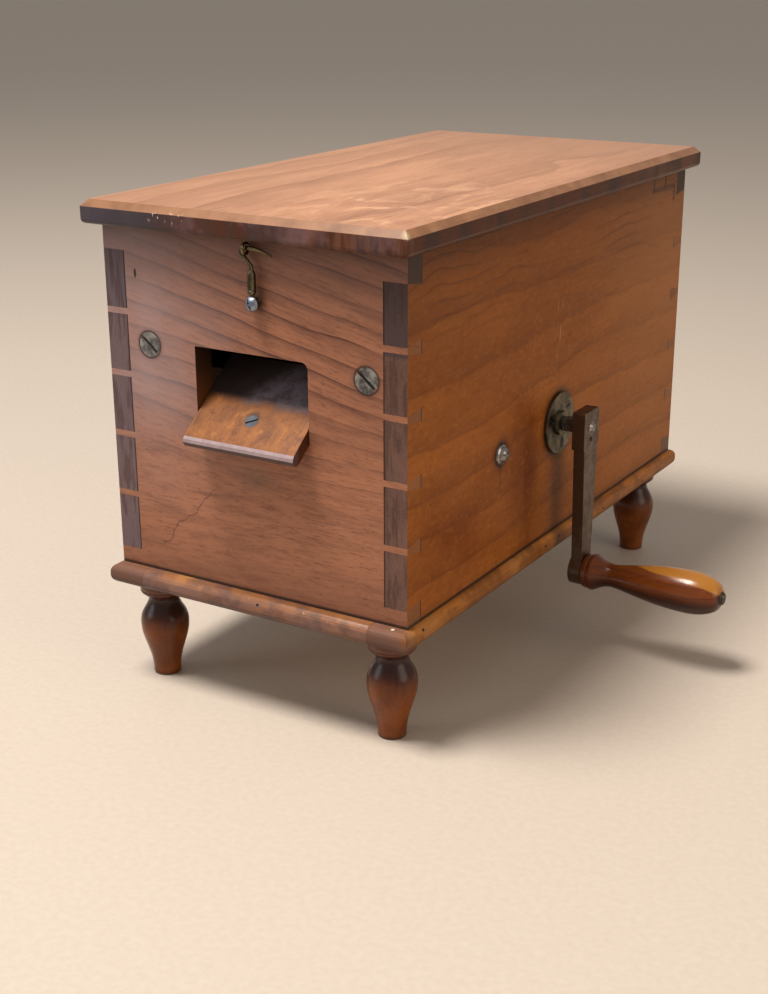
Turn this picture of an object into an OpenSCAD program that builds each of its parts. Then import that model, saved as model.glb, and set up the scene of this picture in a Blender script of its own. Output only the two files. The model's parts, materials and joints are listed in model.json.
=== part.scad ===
// A small drum carder in a dovetailed wooden case, worked by a side crank.
// Wool goes in over a sloping tongue at the front, meets a small licker-in,
// and is combed between the big drum and a fixed flat under the hinged lid.
// X runs across the case to the crank, Y runs from the front to the back, Z is up.

/* [Case] */
// Outside width of the case
case_w = 190; // [184:1:196]
// Outside length of the case, front to back
case_l = 360; // [350:1:370]
// Height of the case boards
case_h = 195; // [193:1:200]
// Thickness of the case boards
board_t = 14; // [12:0.5:15]

/* [Dovetails] */
// Number of tails at each corner
tails = 5; // [3:1:7]
// Width of a pin at the front or back face
pin_out = 3.4; // [2.5:0.1:6]
// Width of a pin at the inside of its board
pin_in = 8; // [7:0.5:10]
// Height of the half pin at the bottom
low_pin = 10; // [6:1:12]
// Height of the half pin at the top
high_pin = 13.9; // [8:0.1:15]

/* [Base and feet] */
// Height of the turned feet
foot_h = 58.5; // [50:0.5:65]
// Thickness of the base moulding
base_t = 11.5; // [10:0.5:13]
// Width of each strip of the moulding
strip_w = 24; // [22:1:26]
// How far the moulding stands out at the sides and the back
base_out = 4; // [2:0.5:6]
// How far the moulding stands out at the front
base_front = 8; // [5:0.5:10]

/* [Lid] */
// Thickness of the lid
lid_t = 13; // [11:0.5:15]
// How far the lid stands out at each side
lid_side = 6; // [4:0.5:8]
// How far the lid stands out at the front and the back
lid_end = 10; // [9:0.5:12]
// Width of the chamfer round the top of the lid
lid_chamfer = 3.7; // [1:0.1:5]
// Radius round the underside of the lid
lid_round = 2.5; // [1:0.1:4]

/* [Feed] */
// Width of the opening in the front board
mouth_w = 72; // [60:1:80]
// Height of the top of the opening above the table
mouth_top = 204.4; // [200:0.2:206]
// Slope of the tongue, in degrees
tongue_slope = 38.5; // [37:0.5:40]
// Thickness of the tongue and the inner chute
tongue_t = 7; // [6:0.5:8]
// How far the tongue's lip stands out of the front board
lip_out = 14.5; // [10:0.5:16]

/* [Carding drum] */
// Half of the drum's working width
drum_half = 52; // [48:1:53]
// Radius of the bare wooden drum
drum_r = 46; // [42:1:47]
// Thickness of the card clothing's leather backing
cloth_t = 2; // [1.5:0.1:2.5]
// Diameter of the drum shaft
shaft_d = 8; // [7:0.5:10]
// Height of both axles above the table
axle_z = 137.5; // [137:0.5:140]
// Place of the drum shaft, behind the middle of the case
drum_y = -5; // [-8:1:-4]
// Radius of the bare licker-in roller
licker_r = 13; // [11:0.5:14]

/* [Gears] */
// Gear module
gear_m = 2; // [2:0.1:2.1]
// Teeth on the drum pinion
pinion_n = 21; // [20:1:22]
// Teeth on the licker-in gear
gear_n = 52; // [50:1:52]
// Face width of the gears
gear_w = 8; // [6:1:8]

/* [Crank] */
// Distance from the shaft to the handle
throw = 90; // [85:1:92]
// Width of the head of the arm
arm_w = 20; // [18:0.5:21]
// Thickness of the head of the arm
arm_t = 8; // [7:0.5:9]
// Length of the wooden grip
grip_l = 85.5; // [78:0.5:90]
// Largest radius of the grip
grip_r = 12.75; // [12:0.25:13.5]

/* [Latch and hinges] */
// Distance from the latch screw to the curved end of the hook
hook_r = 28.3; // [27.8:0.1:28.8]
// Radius of the hook's wire
wire_r = 1.1; // [0.9:0.1:1.2]
// Length of each lid hinge
hinge_l = 40; // [35:5:50]
// Distance of each lid hinge from the middle of the lid
hinge_x = 55; // [45:1:60]

/* [Hidden] */
$fn = 64;

// Clearance round a fixed pin, and of a shaft that runs
fit = 0.05;

// Levels
case_z = foot_h + base_t;
lid_z = case_z + case_h;
// Faces of the case, outside and inside
side_x = case_w / 2;
inner_x = side_x - board_t;
end_y = case_l / 2;
inner_y = end_y - board_t;

// Foot centres
foot_x = side_x - 16.4;
foot_front = -end_y + 12;
foot_back = end_y - 19;
// The front left foot was set a little further in than the others
front_left_x = -foot_x + 1.6;
foot_spigot_r = 4.5;
foot_spigot_h = 9;
base_round = 4.6;
// Turned outline of a foot: height, radius, and how late the curve up to there bends
foot_line = [[0, 7.9, 1], [32, 14, 1.15], [47.5, 8.8, 1.3], [53, 13.3, 1], [foot_h, 13.4, 1]];

// Tongue: height of its top face where it crosses the front of the case
tongue_z = 169;
mouth_low = tongue_z - 20;
mouth_r = 4;
tongue_gap = 0.5;
crest_y = -149;
chute_end = [-101, 157];
chute_end_half = 50;
chute_bar_half = 9;
chute_bar_h = 18;
slope_rise = tan(tongue_slope);
tongue_half = mouth_w / 2 - tongue_gap;
lip_y = -end_y - lip_out;
drop = tongue_t / cos(tongue_slope);
crest_z = tongue_top(crest_y);
function tongue_top(y) = tongue_z + (y + end_y) * slope_rise;

// Rails that carry the flat, and the screws through the front and back boards
rail_x0 = 57;
rail_z0 = 194;
rail_h = 14;
rail_screw_x = (rail_x0 + inner_x) / 2;
rail_screw_z = rail_z0 + rail_h / 2;
// The two front screws were set by eye: across, and above the middle of the rail
front_screws = [[-rail_screw_x + 2.4, 0.4], [rail_screw_x + 2.3, -0.9]];
flat_y = 24;
flat_t = 12;
flat_gap = 10;

// The drum's two heads and its barrel, and the collars on its shaft
head_t = 8;
barrel_wall = 12;
collar_r = 9;
collar_w = 8;

// Axle line of the licker-in, a gear centre distance in front of the drum
gear_centres = gear_m * (pinion_n + gear_n) / 2;
licker_y = drum_y - gear_centres;
gear_x = -66;
backlash = 0.3;
pressure_angle = 20;
gear_hub_r = 12;
pinion_hub_r = 10;
web_t = 3;
licker_axle_r = 4;
licker_half = drum_half - 2;
axle_screw_r = 1.8;
axle_screw_deep = 26;
axle_head_r = 4.6;
washer_r = 6.1;
washer_h = 1.6;

// Bearing plates on the sides of the case
plate_r = 18.4;
plate_t = 2;
boss_r = 7.5;
boss_h = 4;
plate_screw_r = 13;
plate_screw_turns = [40, 160, 280];
shaft_r = shaft_d / 2;
square_w = 7.2;

// Crank: outer face of the arm, and the handle's axis
arm_x = side_x + 22;
arm_head_up = 10.5;
arm_head_down = 12.5;
arm_hub_r = 9.2;
arm_foot_half = 6;
arm_pin_low = 7;
arm_pin_deep = 6;
arm_pin_r = 1.3;
grip_x = arm_x + 0.3;
grip_z = axle_z - throw;
spindle_r = 3;
neck_r = 7;
grip_end_r = 4.2;
spindle_out = 1.7;
grip_line = [[0, 9.2, 1], [6, 11.1, 1], [18, neck_r, 0.66], [grip_l * 0.77, grip_r, 0.7],
  [grip_l, grip_end_r, 0]];

// Latch: pivot screw and the plane in which the hook turns
latch_x = 5.6;
latch_z = case_z + 162.3;
hook_y = -end_y - 4;
eye_r = 2.8;
eye_wire_r = 0.8;
eye_turn = -6.5;
bend_turn = -8.5;
tip_turn = 27;
eye_stem = 12.5;
latch_screw_r = 1.6;
latch_screw_deep = 18;
// The hook leaves its shank in a sweep, leans over, and turns back through a bend
hook_hub_r = 4;
sweep_r = 5;
hook_lean = 45;
hook_bend_r = 2;
tip_r = 0.4;
shank_w = 3.9;
// Where the bend lies, and how long the straight shank is
bend_c = (hook_r - hook_bend_r) * [sin(bend_turn), cos(bend_turn)];
bend_in = bend_c - hook_bend_r * [cos(hook_lean), sin(hook_lean)];
lean_x = -sweep_r * (1 - cos(hook_lean));
shank_end = bend_in[1] - (lean_x - bend_in[0]) / tan(hook_lean) - sweep_r * sin(hook_lean);

// Hinges: the pin lies in the joint between the case and the lid
hinge_out = 3;
hinge_y = end_y + hinge_out;
leaf_t = 1.5;
leaf_deep = 13.5;
knuckle_r = 2.6;
knuckle_gap = 0.15;
hinge_pin_r = 1.1;
knuckles = 5;
knuckle_l = hinge_l / knuckles;
knuckle_room = 3;

// The origin is the middle of the whole box, on the table
box_x = [-side_x - lid_side, grip_x + grip_l + spindle_out];
box_y = [-end_y - lip_out, end_y + lid_end];

cherry = "#9a5a35";
cherry_side = "#a5622f";
lid_wood = "#a8683a";
foot_wood = "#6b2f1a";
mahogany = "#7a3312";
inner_wood = "#b98a5a";
dark_iron = "#3b332c";
steel = "#8b8d8f";
brass = "#8a7a4a";
leather = "#5a4634";

// ---- helpers ----

// Moves a part from the middle of the case to the frame of the whole object
module place() translate([-(box_x[0] + box_x[1]) / 2, -(box_y[0] + box_y[1]) / 2, 0]) children();

// Extrudes an outline drawn in X and Z along Y
module along_y(y0, y1) translate([0, y1, 0]) rotate([90, 0, 0]) linear_extrude(y1 - y0) children();

// Extrudes an outline drawn in Y and Z along X
module along_x(x0, x1) translate([x0, 0, 0]) rotate([90, 0, 90]) linear_extrude(x1 - x0) children();

// Turn a child that stands along +Z to face a side of the case
module facing_front() rotate([90, 0, 0]) children();
module facing_back() rotate([-90, 0, 0]) children();
module facing_right() rotate([0, 90, 0]) children();
module facing_left() rotate([0, -90, 0]) children();

// A cylinder along X
module x_cylinder(x0, x1, r) translate([x0, 0, 0]) facing_right() cylinder(h = x1 - x0, r = r);

module at_drum() translate([0, drum_y, axle_z]) children();
module at_licker() translate([0, licker_y, axle_z]) children();
module at_grip() translate([grip_x, drum_y, grip_z]) children();

module box(low, high) translate(low) cube(high - low);

// One rounded corner of an outline; one step makes a chamfer
function corner(x, z, r, from, steps) =
  [for (i = [0:steps]) [x + r * cos(from + 90 * i / steps), z + r * sin(from + 90 * i / steps)]];

// A rectangle on the X axis with rounded top and bottom corners
function slab_line(w, h, top_r, top_steps, low_r, low_steps) = concat(
  corner(w / 2 - top_r, h - top_r, top_r, 0, top_steps),
  corner(-w / 2 + top_r, h - top_r, top_r, 90, top_steps),
  corner(-w / 2 + low_r, low_r, low_r, 180, low_steps),
  corner(w / 2 - low_r, low_r, low_r, 270, low_steps));

// A flat slab with the same moulded edge on all four sides
module edged_slab(w, y0, y1, h, top_r, top_steps, low_r, low_steps) intersection() {
  along_y(y0, y1) polygon(slab_line(w, h, top_r, top_steps, low_r, low_steps));
  along_x(-w / 2, w / 2) translate([(y0 + y1) / 2, 0])
    polygon(slab_line(y1 - y0, h, top_r, top_steps, low_r, low_steps));
}

// A point of a turned outline between two stations; a bend of 0 makes a round end
function turned_point(a, b, s) = b[2] == 0
  ? [b[1] + (a[1] - b[1]) * cos(90 * s), a[0] + (b[0] - a[0]) * sin(90 * s)]
  : [a[1] + (b[1] - a[1]) * (1 - cos(180 * pow(s, b[2]))) / 2, a[0] + (b[0] - a[0]) * s];

// A solid of revolution about Z through stations of height, radius and bend
module turned(line, steps = 8) rotate_extrude() polygon(concat(
  [[0, line[0][0]], [line[0][1], line[0][0]]],
  [for (i = [1:len(line) - 1], s = [1:steps]) turned_point(line[i - 1], line[i], s / steps)],
  [[0, line[len(line) - 1][0]]]));

// A slotted countersunk screw with its head at the top, pointing down
module flat_screw(head_r, shank_r, length, slot_turn = 0) {
  slot_w = head_r * 0.26;
  slot_deep = head_r * 0.3;
  difference() {
    screw_body(head_r, shank_r, length);
    rotate(slot_turn) box([-head_r - 1, -slot_w / 2, -slot_deep], [head_r + 1, slot_w / 2, 1]);
  }
}
module screw_body(head_r, shank_r, length) {
  tip = 2 * shank_r;
  translate([0, 0, shank_r - head_r]) cylinder(h = head_r - shank_r, r1 = shank_r, r2 = head_r);
  translate([0, 0, tip - length]) cylinder(h = length - tip, r = shank_r);
  translate([0, 0, -length]) cylinder(h = tip, r1 = 0, r2 = shank_r);
}

// The countersunk hole that such a screw fills
module screw_hole(head_r, shank_r, length) {
  translate([0, 0, fit]) screw_body(head_r + 2 * fit, shank_r + fit, length + 4 * fit);
  translate([0, 0, fit]) cylinder(h = 1, r = head_r + 2 * fit);
}

// A round-head screw with one slot or two crossed ones, the underside of its head at the origin
module round_screw(head_r, head_h, shank_r, length, slot_turns) {
  ball_r = (head_r * head_r + head_h * head_h) / (2 * head_h);
  slot_w = head_r * 0.26;
  difference() {
    intersection() {
      translate([0, 0, head_h - ball_r]) sphere(r = ball_r);
      cylinder(h = head_h, r = head_r);
    }
    for (turn = slot_turns) rotate(turn)
      box([-head_r - 1, -slot_w / 2, head_h * 0.5], [head_r + 1, slot_w / 2, head_h + 1]);
  }
  translate([0, 0, -length]) cylinder(h = length, r = shank_r);
}

// Places of the repeated fasteners
module at_front_screws() for (at = front_screws)
  translate([at[0], -end_y, rail_screw_z + at[1]]) facing_front() children();
module at_back_screws() for (side = [-1, 1])
  translate([side * rail_screw_x, end_y, rail_screw_z]) facing_back() children();
module at_plate_screws() for (turn = plate_screw_turns)
  rotate([turn, 0, 0]) translate([0, plate_screw_r, 0]) facing_right() children();
module at_flat_screws() for (side = [-1, 1])
  translate([side * rail_screw_x, drum_y, rail_z0 + rail_h + flat_t]) children();
module at_hinges() for (side = [-1, 1]) translate([side * hinge_x, hinge_y, lid_z]) children();
module at_leaf_screws() for (side = [-1, 1])
  translate([side * hinge_l * 0.3, -hinge_out - leaf_deep / 2, 0]) children();

// Countersunk screws: head radius, shank radius and length
rail_screw = [6.85, 2.9, 40];
plate_screw = [3.2, 1.4, 12];
flat_bar_screw = [4.2, 2, 24];
leaf_screw = [2.4, 1.1, 10.5];
tongue_screw_size = [3.9, 1.5, 15];

// Pins of an end board, drawn in depth from its outer face and height
module pin_lines() {
  flare = (pin_in - pin_out) / 2;
  tail_h = (case_h - low_pin - high_pin - (tails - 1) * pin_out) / tails;
  polygon([[0, 0], [board_t, 0], [board_t, low_pin + flare], [0, low_pin]]);
  for (i = [1:tails - 1]) {
    z = low_pin + i * tail_h + (i - 1) * pin_out;
    polygon([[0, z], [board_t, z - flare], [board_t, z + pin_out + flare], [0, z + pin_out]]);
  }
  polygon([[0, case_h - high_pin], [board_t, case_h - high_pin - flare], [board_t, case_h], [0, case_h]]);
}
module corner_pins() for (side = [0, 1]) mirror([side, 0, 0])
  along_x(inner_x, side_x) translate([-end_y, case_z]) pin_lines();

module end_board() {
  box([-inner_x, -end_y, case_z], [inner_x, -inner_y, lid_z]);
  corner_pins();
}

// ---- case ----

module front_board() color(cherry) place() difference() {
  end_board();
  feed_mouth();
  at_front_screws() screw_hole(rail_screw[0], rail_screw[1], rail_screw[2]);
  tongue_screw_hole();
  translate([latch_x, -end_y, latch_z]) facing_front()
    translate([0, 0, -latch_screw_deep - fit]) cylinder(h = latch_screw_deep + 1, r = latch_screw_r + fit);
}

// The opening has one round corner, one sharp one, and a sill that slopes with the tongue
module feed_mouth() difference() {
  along_y(-end_y - 1, -inner_y + 1) polygon(concat(
    corner(mouth_w / 2 - mouth_r, mouth_top - mouth_r, mouth_r, 0, 6),
    [[-mouth_w / 2, mouth_top], [-mouth_w / 2, mouth_low], [mouth_w / 2, mouth_low]]));
  below_tongue();
}
// Everything under the tongue
module below_tongue() along_x(-case_w, case_w) polygon([[-case_l, 0], [0, 0],
  [0, tongue_top(0) - drop], [-case_l, tongue_top(-case_l) - drop]]);

module back_board() color(cherry) place() difference() {
  mirror([0, 1, 0]) end_board();
  at_back_screws() screw_hole(rail_screw[0], rail_screw[1], rail_screw[2]);
  at_hinges() {
    box([-hinge_l / 2, -hinge_out - leaf_deep, -leaf_t], [hinge_l / 2, 0, 1]);
    translate([0, 0, -fit]) at_leaf_screws() screw_hole(leaf_screw[0], leaf_screw[1], leaf_screw[2]);
  }
}

module side_board() difference() {
  box([inner_x, -end_y, case_z], [side_x, end_y, lid_z]);
  corner_pins();
  mirror([0, 1, 0]) corner_pins();
  at_drum() {
    x_cylinder(inner_x - 1, side_x + 1, boss_r);
    translate([side_x + plate_t, 0, 0]) at_plate_screws()
      cylinder(h = 30, r = plate_screw[1] + fit, center = true);
  }
  at_licker() x_cylinder(inner_x - 1, side_x + 1, axle_screw_r + fit);
}
module left_board() color(cherry_side) place() mirror([1, 0, 0]) side_board();
module right_board() color(cherry_side) place() side_board();

module bottom_board() color(inner_wood) place()
  box([-side_x - base_out + strip_w, -end_y - base_front + strip_w, foot_h],
    [side_x + base_out - strip_w, end_y + base_out - strip_w, case_z]);

// The moulding is one bullnosed frame; the side strips run its full length
module base_frame() difference() {
  translate([0, 0, foot_h]) edged_slab(case_w + 2 * base_out, -end_y - base_front, end_y + base_out,
    base_t, base_round, 5, base_round, 5);
  for (at = [[front_left_x, foot_front], [foot_x, foot_front], [-foot_x, foot_back], [foot_x, foot_back]])
    translate([at[0], at[1], foot_h - 1]) cylinder(h = foot_spigot_h + 1 + fit, r = foot_spigot_r + fit);
}
module side_strip(side) intersection() {
  base_frame();
  translate([side * (side_x + base_out - strip_w / 2), 0, 0])
    box([-strip_w / 2, -case_l, 0], [strip_w / 2, case_l, case_z + 1]);
}
module end_strip(y0, y1) intersection() {
  base_frame();
  box([-side_x - base_out + strip_w, y0, 0], [side_x + base_out - strip_w, y1, case_z + 1]);
}
module left_moulding() color(cherry) place() side_strip(-1);
module right_moulding() color(cherry) place() side_strip(1);
module front_moulding() color(cherry) place()
  end_strip(-end_y - base_front - 1, -end_y - base_front + strip_w);
module back_moulding() color(cherry) place() end_strip(end_y + base_out - strip_w, end_y + base_out + 1);

module foot(x, y) color(foot_wood) place() translate([x, y, 0]) {
  turned(foot_line);
  translate([0, 0, foot_h - 1]) cylinder(h = foot_spigot_h + 1, r = foot_spigot_r);
}
module front_left_foot() foot(front_left_x, foot_front);
module front_right_foot() foot(foot_x, foot_front);
module back_left_foot() foot(-foot_x, foot_back);
module back_right_foot() foot(foot_x, foot_back);

// ---- feed ----

// A sloping board whose outer end is rounded to a lip
module feed_tongue() color(cherry) place() difference() {
  lip_r = tongue_t / 2;
  along_x(-tongue_half, tongue_half) polygon(concat(
    [[crest_y, crest_z], [crest_y, crest_z - drop]],
    [for (i = [0:6]) lip_point(lip_r, 270 + tongue_slope - 30 * i)]));
  tongue_screw_hole();
}
// The centre of the lip's rounding lies halfway through the board's thickness
function lip_point(r, turn) = [lip_y + r + r * cos(turn),
  tongue_top(lip_y + r) - drop / 2 + r * sin(turn)];

module at_tongue_screw() translate([0, -end_y - 0.6, tongue_top(-end_y - 0.6)])
  rotate([tongue_slope, 0, 0]) children();
module tongue_screw_hole() at_tongue_screw()
  screw_hole(tongue_screw_size[0], tongue_screw_size[1], tongue_screw_size[2]);
module tongue_screw() color(steel) place() at_tongue_screw()
  flat_screw(tongue_screw_size[0], tongue_screw_size[1], tongue_screw_size[2], 30);

// The chute widens from the tongue's width to the width of the licker-in
module inner_chute() color(inner_wood) place() intersection() {
  along_x(-chute_end_half, chute_end_half) polygon([[crest_y, crest_z], [crest_y, crest_z - drop],
    [chute_end[0], chute_end[1] - drop], chute_end]);
  translate([0, 0, case_z]) linear_extrude(case_h) polygon([[-tongue_half, crest_y],
    [tongue_half, crest_y], [chute_end_half, chute_end[0]], [-chute_end_half, chute_end[0]]]);
}

// A bar across the case that holds up the ridge between the tongue and the chute
module chute_bar() color(inner_wood) place() along_x(-inner_x, inner_x) {
  chute_rise = (crest_z - chute_end[1]) / (chute_end[0] - crest_y);
  ridge_z = crest_z - drop;
  front_y = crest_y - chute_bar_half;
  back_y = crest_y + chute_bar_half;
  polygon([[crest_y, ridge_z], [front_y, ridge_z - chute_bar_half * slope_rise],
    [front_y, ridge_z - chute_bar_h], [back_y, ridge_z - chute_bar_h],
    [back_y, ridge_z - chute_bar_half * chute_rise]]);
}

// ---- rails and flat ----

module rail(side) color(inner_wood) place() difference() {
  box([side > 0 ? rail_x0 : -inner_x, -inner_y, rail_z0],
    [side > 0 ? inner_x : -rail_x0, inner_y, rail_z0 + rail_h]);
  at_front_screws() screw_hole(rail_screw[0], rail_screw[1], rail_screw[2]);
  at_back_screws() screw_hole(rail_screw[0], rail_screw[1], rail_screw[2]);
  at_flat_screws() screw_hole(flat_bar_screw[0], flat_bar_screw[1], flat_bar_screw[2]);
}
module left_rail() rail(-1);
module right_rail() rail(1);

module rail_screws() color(steel) place() {
  at_front_screws() flat_screw(rail_screw[0], rail_screw[1], rail_screw[2], -40);
  at_back_screws() flat_screw(rail_screw[0], rail_screw[1], rail_screw[2], 25);
}

// The flat's face is hollowed to follow the drum
module flat_bar() color(inner_wood) place() difference() {
  translate([0, drum_y, 0]) {
    box([-inner_x, -flat_y, rail_z0 + rail_h], [inner_x, flat_y, rail_z0 + rail_h + flat_t]);
    box([-drum_half, -flat_y, rail_z0 - 4], [drum_half, flat_y, rail_z0 + rail_h + 1]);
  }
  at_drum() x_cylinder(-case_w, case_w, drum_r + flat_gap + cloth_t);
  at_flat_screws() screw_hole(flat_bar_screw[0], flat_bar_screw[1], flat_bar_screw[2]);
}
module flat_card_cloth() color(leather) place() intersection() {
  at_drum() difference() {
    x_cylinder(-drum_half, drum_half, drum_r + flat_gap + cloth_t);
    x_cylinder(-case_w, case_w, drum_r + flat_gap);
  }
  translate([0, drum_y, 0]) box([-drum_half, -flat_y, axle_z], [drum_half, flat_y, lid_z]);
}
module flat_screws() color(steel) place() at_flat_screws()
  flat_screw(flat_bar_screw[0], flat_bar_screw[1], flat_bar_screw[2], 15);

// ---- bearings and licker-in axle ----

// A flange and boss outside the board, and a bush through it
module bearing_plate() translate([side_x, 0, 0]) difference() {
  union() {
    x_cylinder(0, plate_t, plate_r);
    x_cylinder(0, boss_h, boss_r);
    x_cylinder(-board_t, 0, boss_r - fit);
  }
  x_cylinder(-board_t - 1, boss_h + 1, shaft_r + fit);
  translate([plate_t, 0, 0]) at_plate_screws()
    screw_hole(plate_screw[0], plate_screw[1], plate_screw[2]);
}
module left_bearing_plate() color(brass) place() at_drum() mirror([1, 0, 0]) bearing_plate();
module right_bearing_plate() color(brass) place() at_drum() bearing_plate();
module plate_screws() color(steel) place() at_drum() for (side = [0, 1]) mirror([side, 0, 0])
  translate([side_x + plate_t, 0, 0]) at_plate_screws()
    flat_screw(plate_screw[0], plate_screw[1], plate_screw[2], 60);

module licker_axle() color(steel) place() at_licker() difference() {
  x_cylinder(-inner_x, inner_x, licker_axle_r);
  for (side = [0, 1]) mirror([side, 0, 0])
    x_cylinder(side_x + washer_h - axle_screw_deep - fit, inner_x + 1, axle_screw_r + fit);
}
module at_axle_ends() at_licker() for (side = [0, 1]) mirror([side, 0, 0])
  translate([side_x, 0, 0]) facing_right() children();
module axle_screws() color(steel) place() at_axle_ends() translate([0, 0, washer_h])
  round_screw(axle_head_r, 3.2, axle_screw_r, axle_screw_deep, [70]);
module cup_washers() color(steel) place() at_axle_ends() rotate_extrude() polygon([
  [axle_screw_r + fit, 0], [washer_r, 0], [washer_r - 0.3, 0.9], [axle_head_r + 0.3, washer_h],
  [axle_screw_r + fit, washer_h]]);

// ---- hinges ----

// Knuckle k of a hinge, or its leaf's cut-out when it is wider
module knuckle(k, r, gap) x_cylinder(-hinge_l / 2 + k * knuckle_l + gap,
  -hinge_l / 2 + (k + 1) * knuckle_l - gap, r);

// A leaf lies on one side of the joint and carries every second knuckle
module hinge_leaf(first, z0, z1) difference() {
  union() {
    box([-hinge_l / 2, -hinge_out - leaf_deep, z0], [hinge_l / 2, -hinge_out + 0.2, z1]);
    for (k = [first:2:knuckles - 1]) {
      knuckle(k, knuckle_r, knuckle_gap);
      box([-hinge_l / 2 + k * knuckle_l + knuckle_gap, -hinge_out + 0.1, z0],
        [-hinge_l / 2 + (k + 1) * knuckle_l - knuckle_gap, 0, z1]);
    }
  }
  x_cylinder(-hinge_l, hinge_l, hinge_pin_r + fit);
}
module case_hinge_leaves() color(brass) place() at_hinges() difference() {
  hinge_leaf(0, -leaf_t, 0);
  at_leaf_screws() screw_hole(leaf_screw[0], leaf_screw[1], leaf_screw[2]);
}
module case_hinge_screws() color(steel) place() at_hinges() at_leaf_screws()
  flat_screw(leaf_screw[0], leaf_screw[1], leaf_screw[2], 35);
module hinge_pins() color(steel) place() at_hinges() x_cylinder(-hinge_l / 2, hinge_l / 2, hinge_pin_r);
module lid_hinge_leaves() color(brass) place() at_hinges() difference() {
  hinge_leaf(1, 0, leaf_t);
  at_leaf_screws() mirror([0, 0, 1]) screw_hole(leaf_screw[0], leaf_screw[1], leaf_screw[2]);
}
module lid_hinge_screws() color(steel) place() at_hinges() at_leaf_screws() mirror([0, 0, 1])
  flat_screw(leaf_screw[0], leaf_screw[1], leaf_screw[2], 35);

// ---- lid ----

module lid_board() color(lid_wood) place() difference() {
  translate([0, 0, lid_z]) edged_slab(case_w + 2 * lid_side, -end_y - lid_end, end_y + lid_end,
    lid_t, lid_chamfer, 1, lid_round, 3);
  at_hinges() {
    box([-hinge_l / 2, -hinge_out - leaf_deep, -1], [hinge_l / 2, -hinge_out + 0.1, leaf_t]);
    box([-hinge_l / 2 - 0.3, -hinge_out - fit, -1], [hinge_l / 2 + 0.3, lid_end, knuckle_room]);
    translate([0, 0, fit]) at_leaf_screws() mirror([0, 0, 1])
      screw_hole(leaf_screw[0], leaf_screw[1], leaf_screw[2]);
  }
  at_eye() cylinder(h = eye_stem + fit, r = eye_wire_r + fit);
}

// ---- latch ----

function on_arc(turn) = [hook_r * sin(turn), hook_r * cos(turn)];
module at_eye() translate([latch_x + on_arc(eye_turn)[0], hook_y, latch_z + on_arc(eye_turn)[1]]) children();

module latch_eye() color(brass) place() at_eye() {
  facing_right() rotate_extrude() translate([eye_r, 0]) circle(r = eye_wire_r, $fn = 32);
  translate([0, 0, eye_r]) cylinder(h = eye_stem - eye_r, r = eye_wire_r);
}

module latch_washer() color(steel) place() translate([latch_x, -end_y, latch_z]) facing_front()
  difference() {
    cylinder(h = -end_y - hook_y - wire_r - 0.1, r = 3);
    translate([0, 0, -1]) cylinder(h = 9, r = latch_screw_r + fit);
  }

module latch_screw() color(steel) place() translate([latch_x, hook_y - wire_r - 0.1, latch_z])
  facing_front() round_screw(3.9, 2.2, latch_screw_r, latch_screw_deep - end_y - hook_y + wire_r, [20, 110]);

// The hook is drawn in the plane of its swing, with the pivot at the origin
module latch_hook() color(brass) place() translate([latch_x, hook_y, latch_z]) facing_front()
  difference() {
    union() {
      linear_extrude(2 * wire_r, center = true) polygon(concat(hook_edge(1), reversed(hook_edge(-1))));
      cylinder(h = 2 * wire_r, r = hook_hub_r, center = true);
      rotate([-90, 0, 0]) {
        translate([0, 0, hook_hub_r + 1.6]) cylinder(h = 2.2, r = shank_w / 2 + 0.4);
        translate([0, 0, hook_hub_r + 3]) rotate(22.5)
          cylinder(h = shank_end - hook_hub_r - 4, r = shank_w / 2, $fn = 8);
      }
    }
    cylinder(h = 9, r = latch_screw_r + fit, center = true);
  }

// One edge of the hook: 1 is the left one, -1 the right one
function hook_edge(side) = concat(
  [[-side * wire_r, hook_hub_r - 1]],
  hook_arc([-sweep_r, shank_end], sweep_r, 0, hook_lean, -side, wire_r),
  hook_arc(bend_c, hook_bend_r, 180 + hook_lean, 90 - bend_turn, side, wire_r),
  hook_arc([0, 0], hook_r, 88 - bend_turn, 90 - tip_turn, side, tip_r));
// The edge along an arc, at a half width that narrows to the last one
function hook_arc(centre, r, from, to, side, last) = [for (i = [0:8]) let (s = i / 8)
  centre + polar(r + side * (wire_r + (last - wire_r) * s * s), from + (to - from) * s)];
function reversed(list) = [for (i = [len(list) - 1:-1:0]) list[i]];

// ---- crank, shaft and drum ----

module crank_arm() color(dark_iron) place() difference() {
  shank_t = arm_t - 1;
  head_z = axle_z - arm_head_down;
  shank_half = arm_w * 0.46;
  union() {
    along_x(arm_x - arm_t, arm_x) translate([drum_y, head_z])
      polygon(slab_line(arm_w, arm_head_up + arm_head_down, 1, 1, 0.5, 1));
    along_x(arm_x - shank_t, arm_x) translate([drum_y, 0]) polygon([[-shank_half, head_z + 2],
      [-arm_foot_half, grip_z], [arm_foot_half, grip_z], [shank_half, head_z + 2]]);
    translate([0, drum_y, grip_z]) x_cylinder(arm_x - arm_t, arm_x, arm_hub_r);
  }
  at_drum() along_x(arm_x - arm_t - 1, arm_x + 1) square(square_w + 2 * fit, center = true);
  at_arm_pin() x_cylinder(-arm_pin_deep, 1, arm_pin_r + fit);
  translate([0, drum_y, grip_z]) x_cylinder(side_x, grip_x + 1, spindle_r + fit);
}

// Round in its bearings, square under the arm, riveted over at the end
module drum_shaft() color(dark_iron) place() at_drum() {
  square_x = side_x + boss_h + 0.5;
  x_cylinder(-side_x - boss_h, square_x + 1, shaft_r);
  along_x(square_x, arm_x) square(square_w, center = true);
  translate([arm_x, 0, 0]) facing_right() cylinder(h = 1.4, r1 = 3.4, r2 = 2.2);
}
module at_arm_pin() at_drum() translate([arm_x, 0, -arm_pin_low]) children();
module arm_pin() color(steel) place() at_arm_pin() x_cylinder(-arm_pin_deep, 0.5, arm_pin_r);

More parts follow.
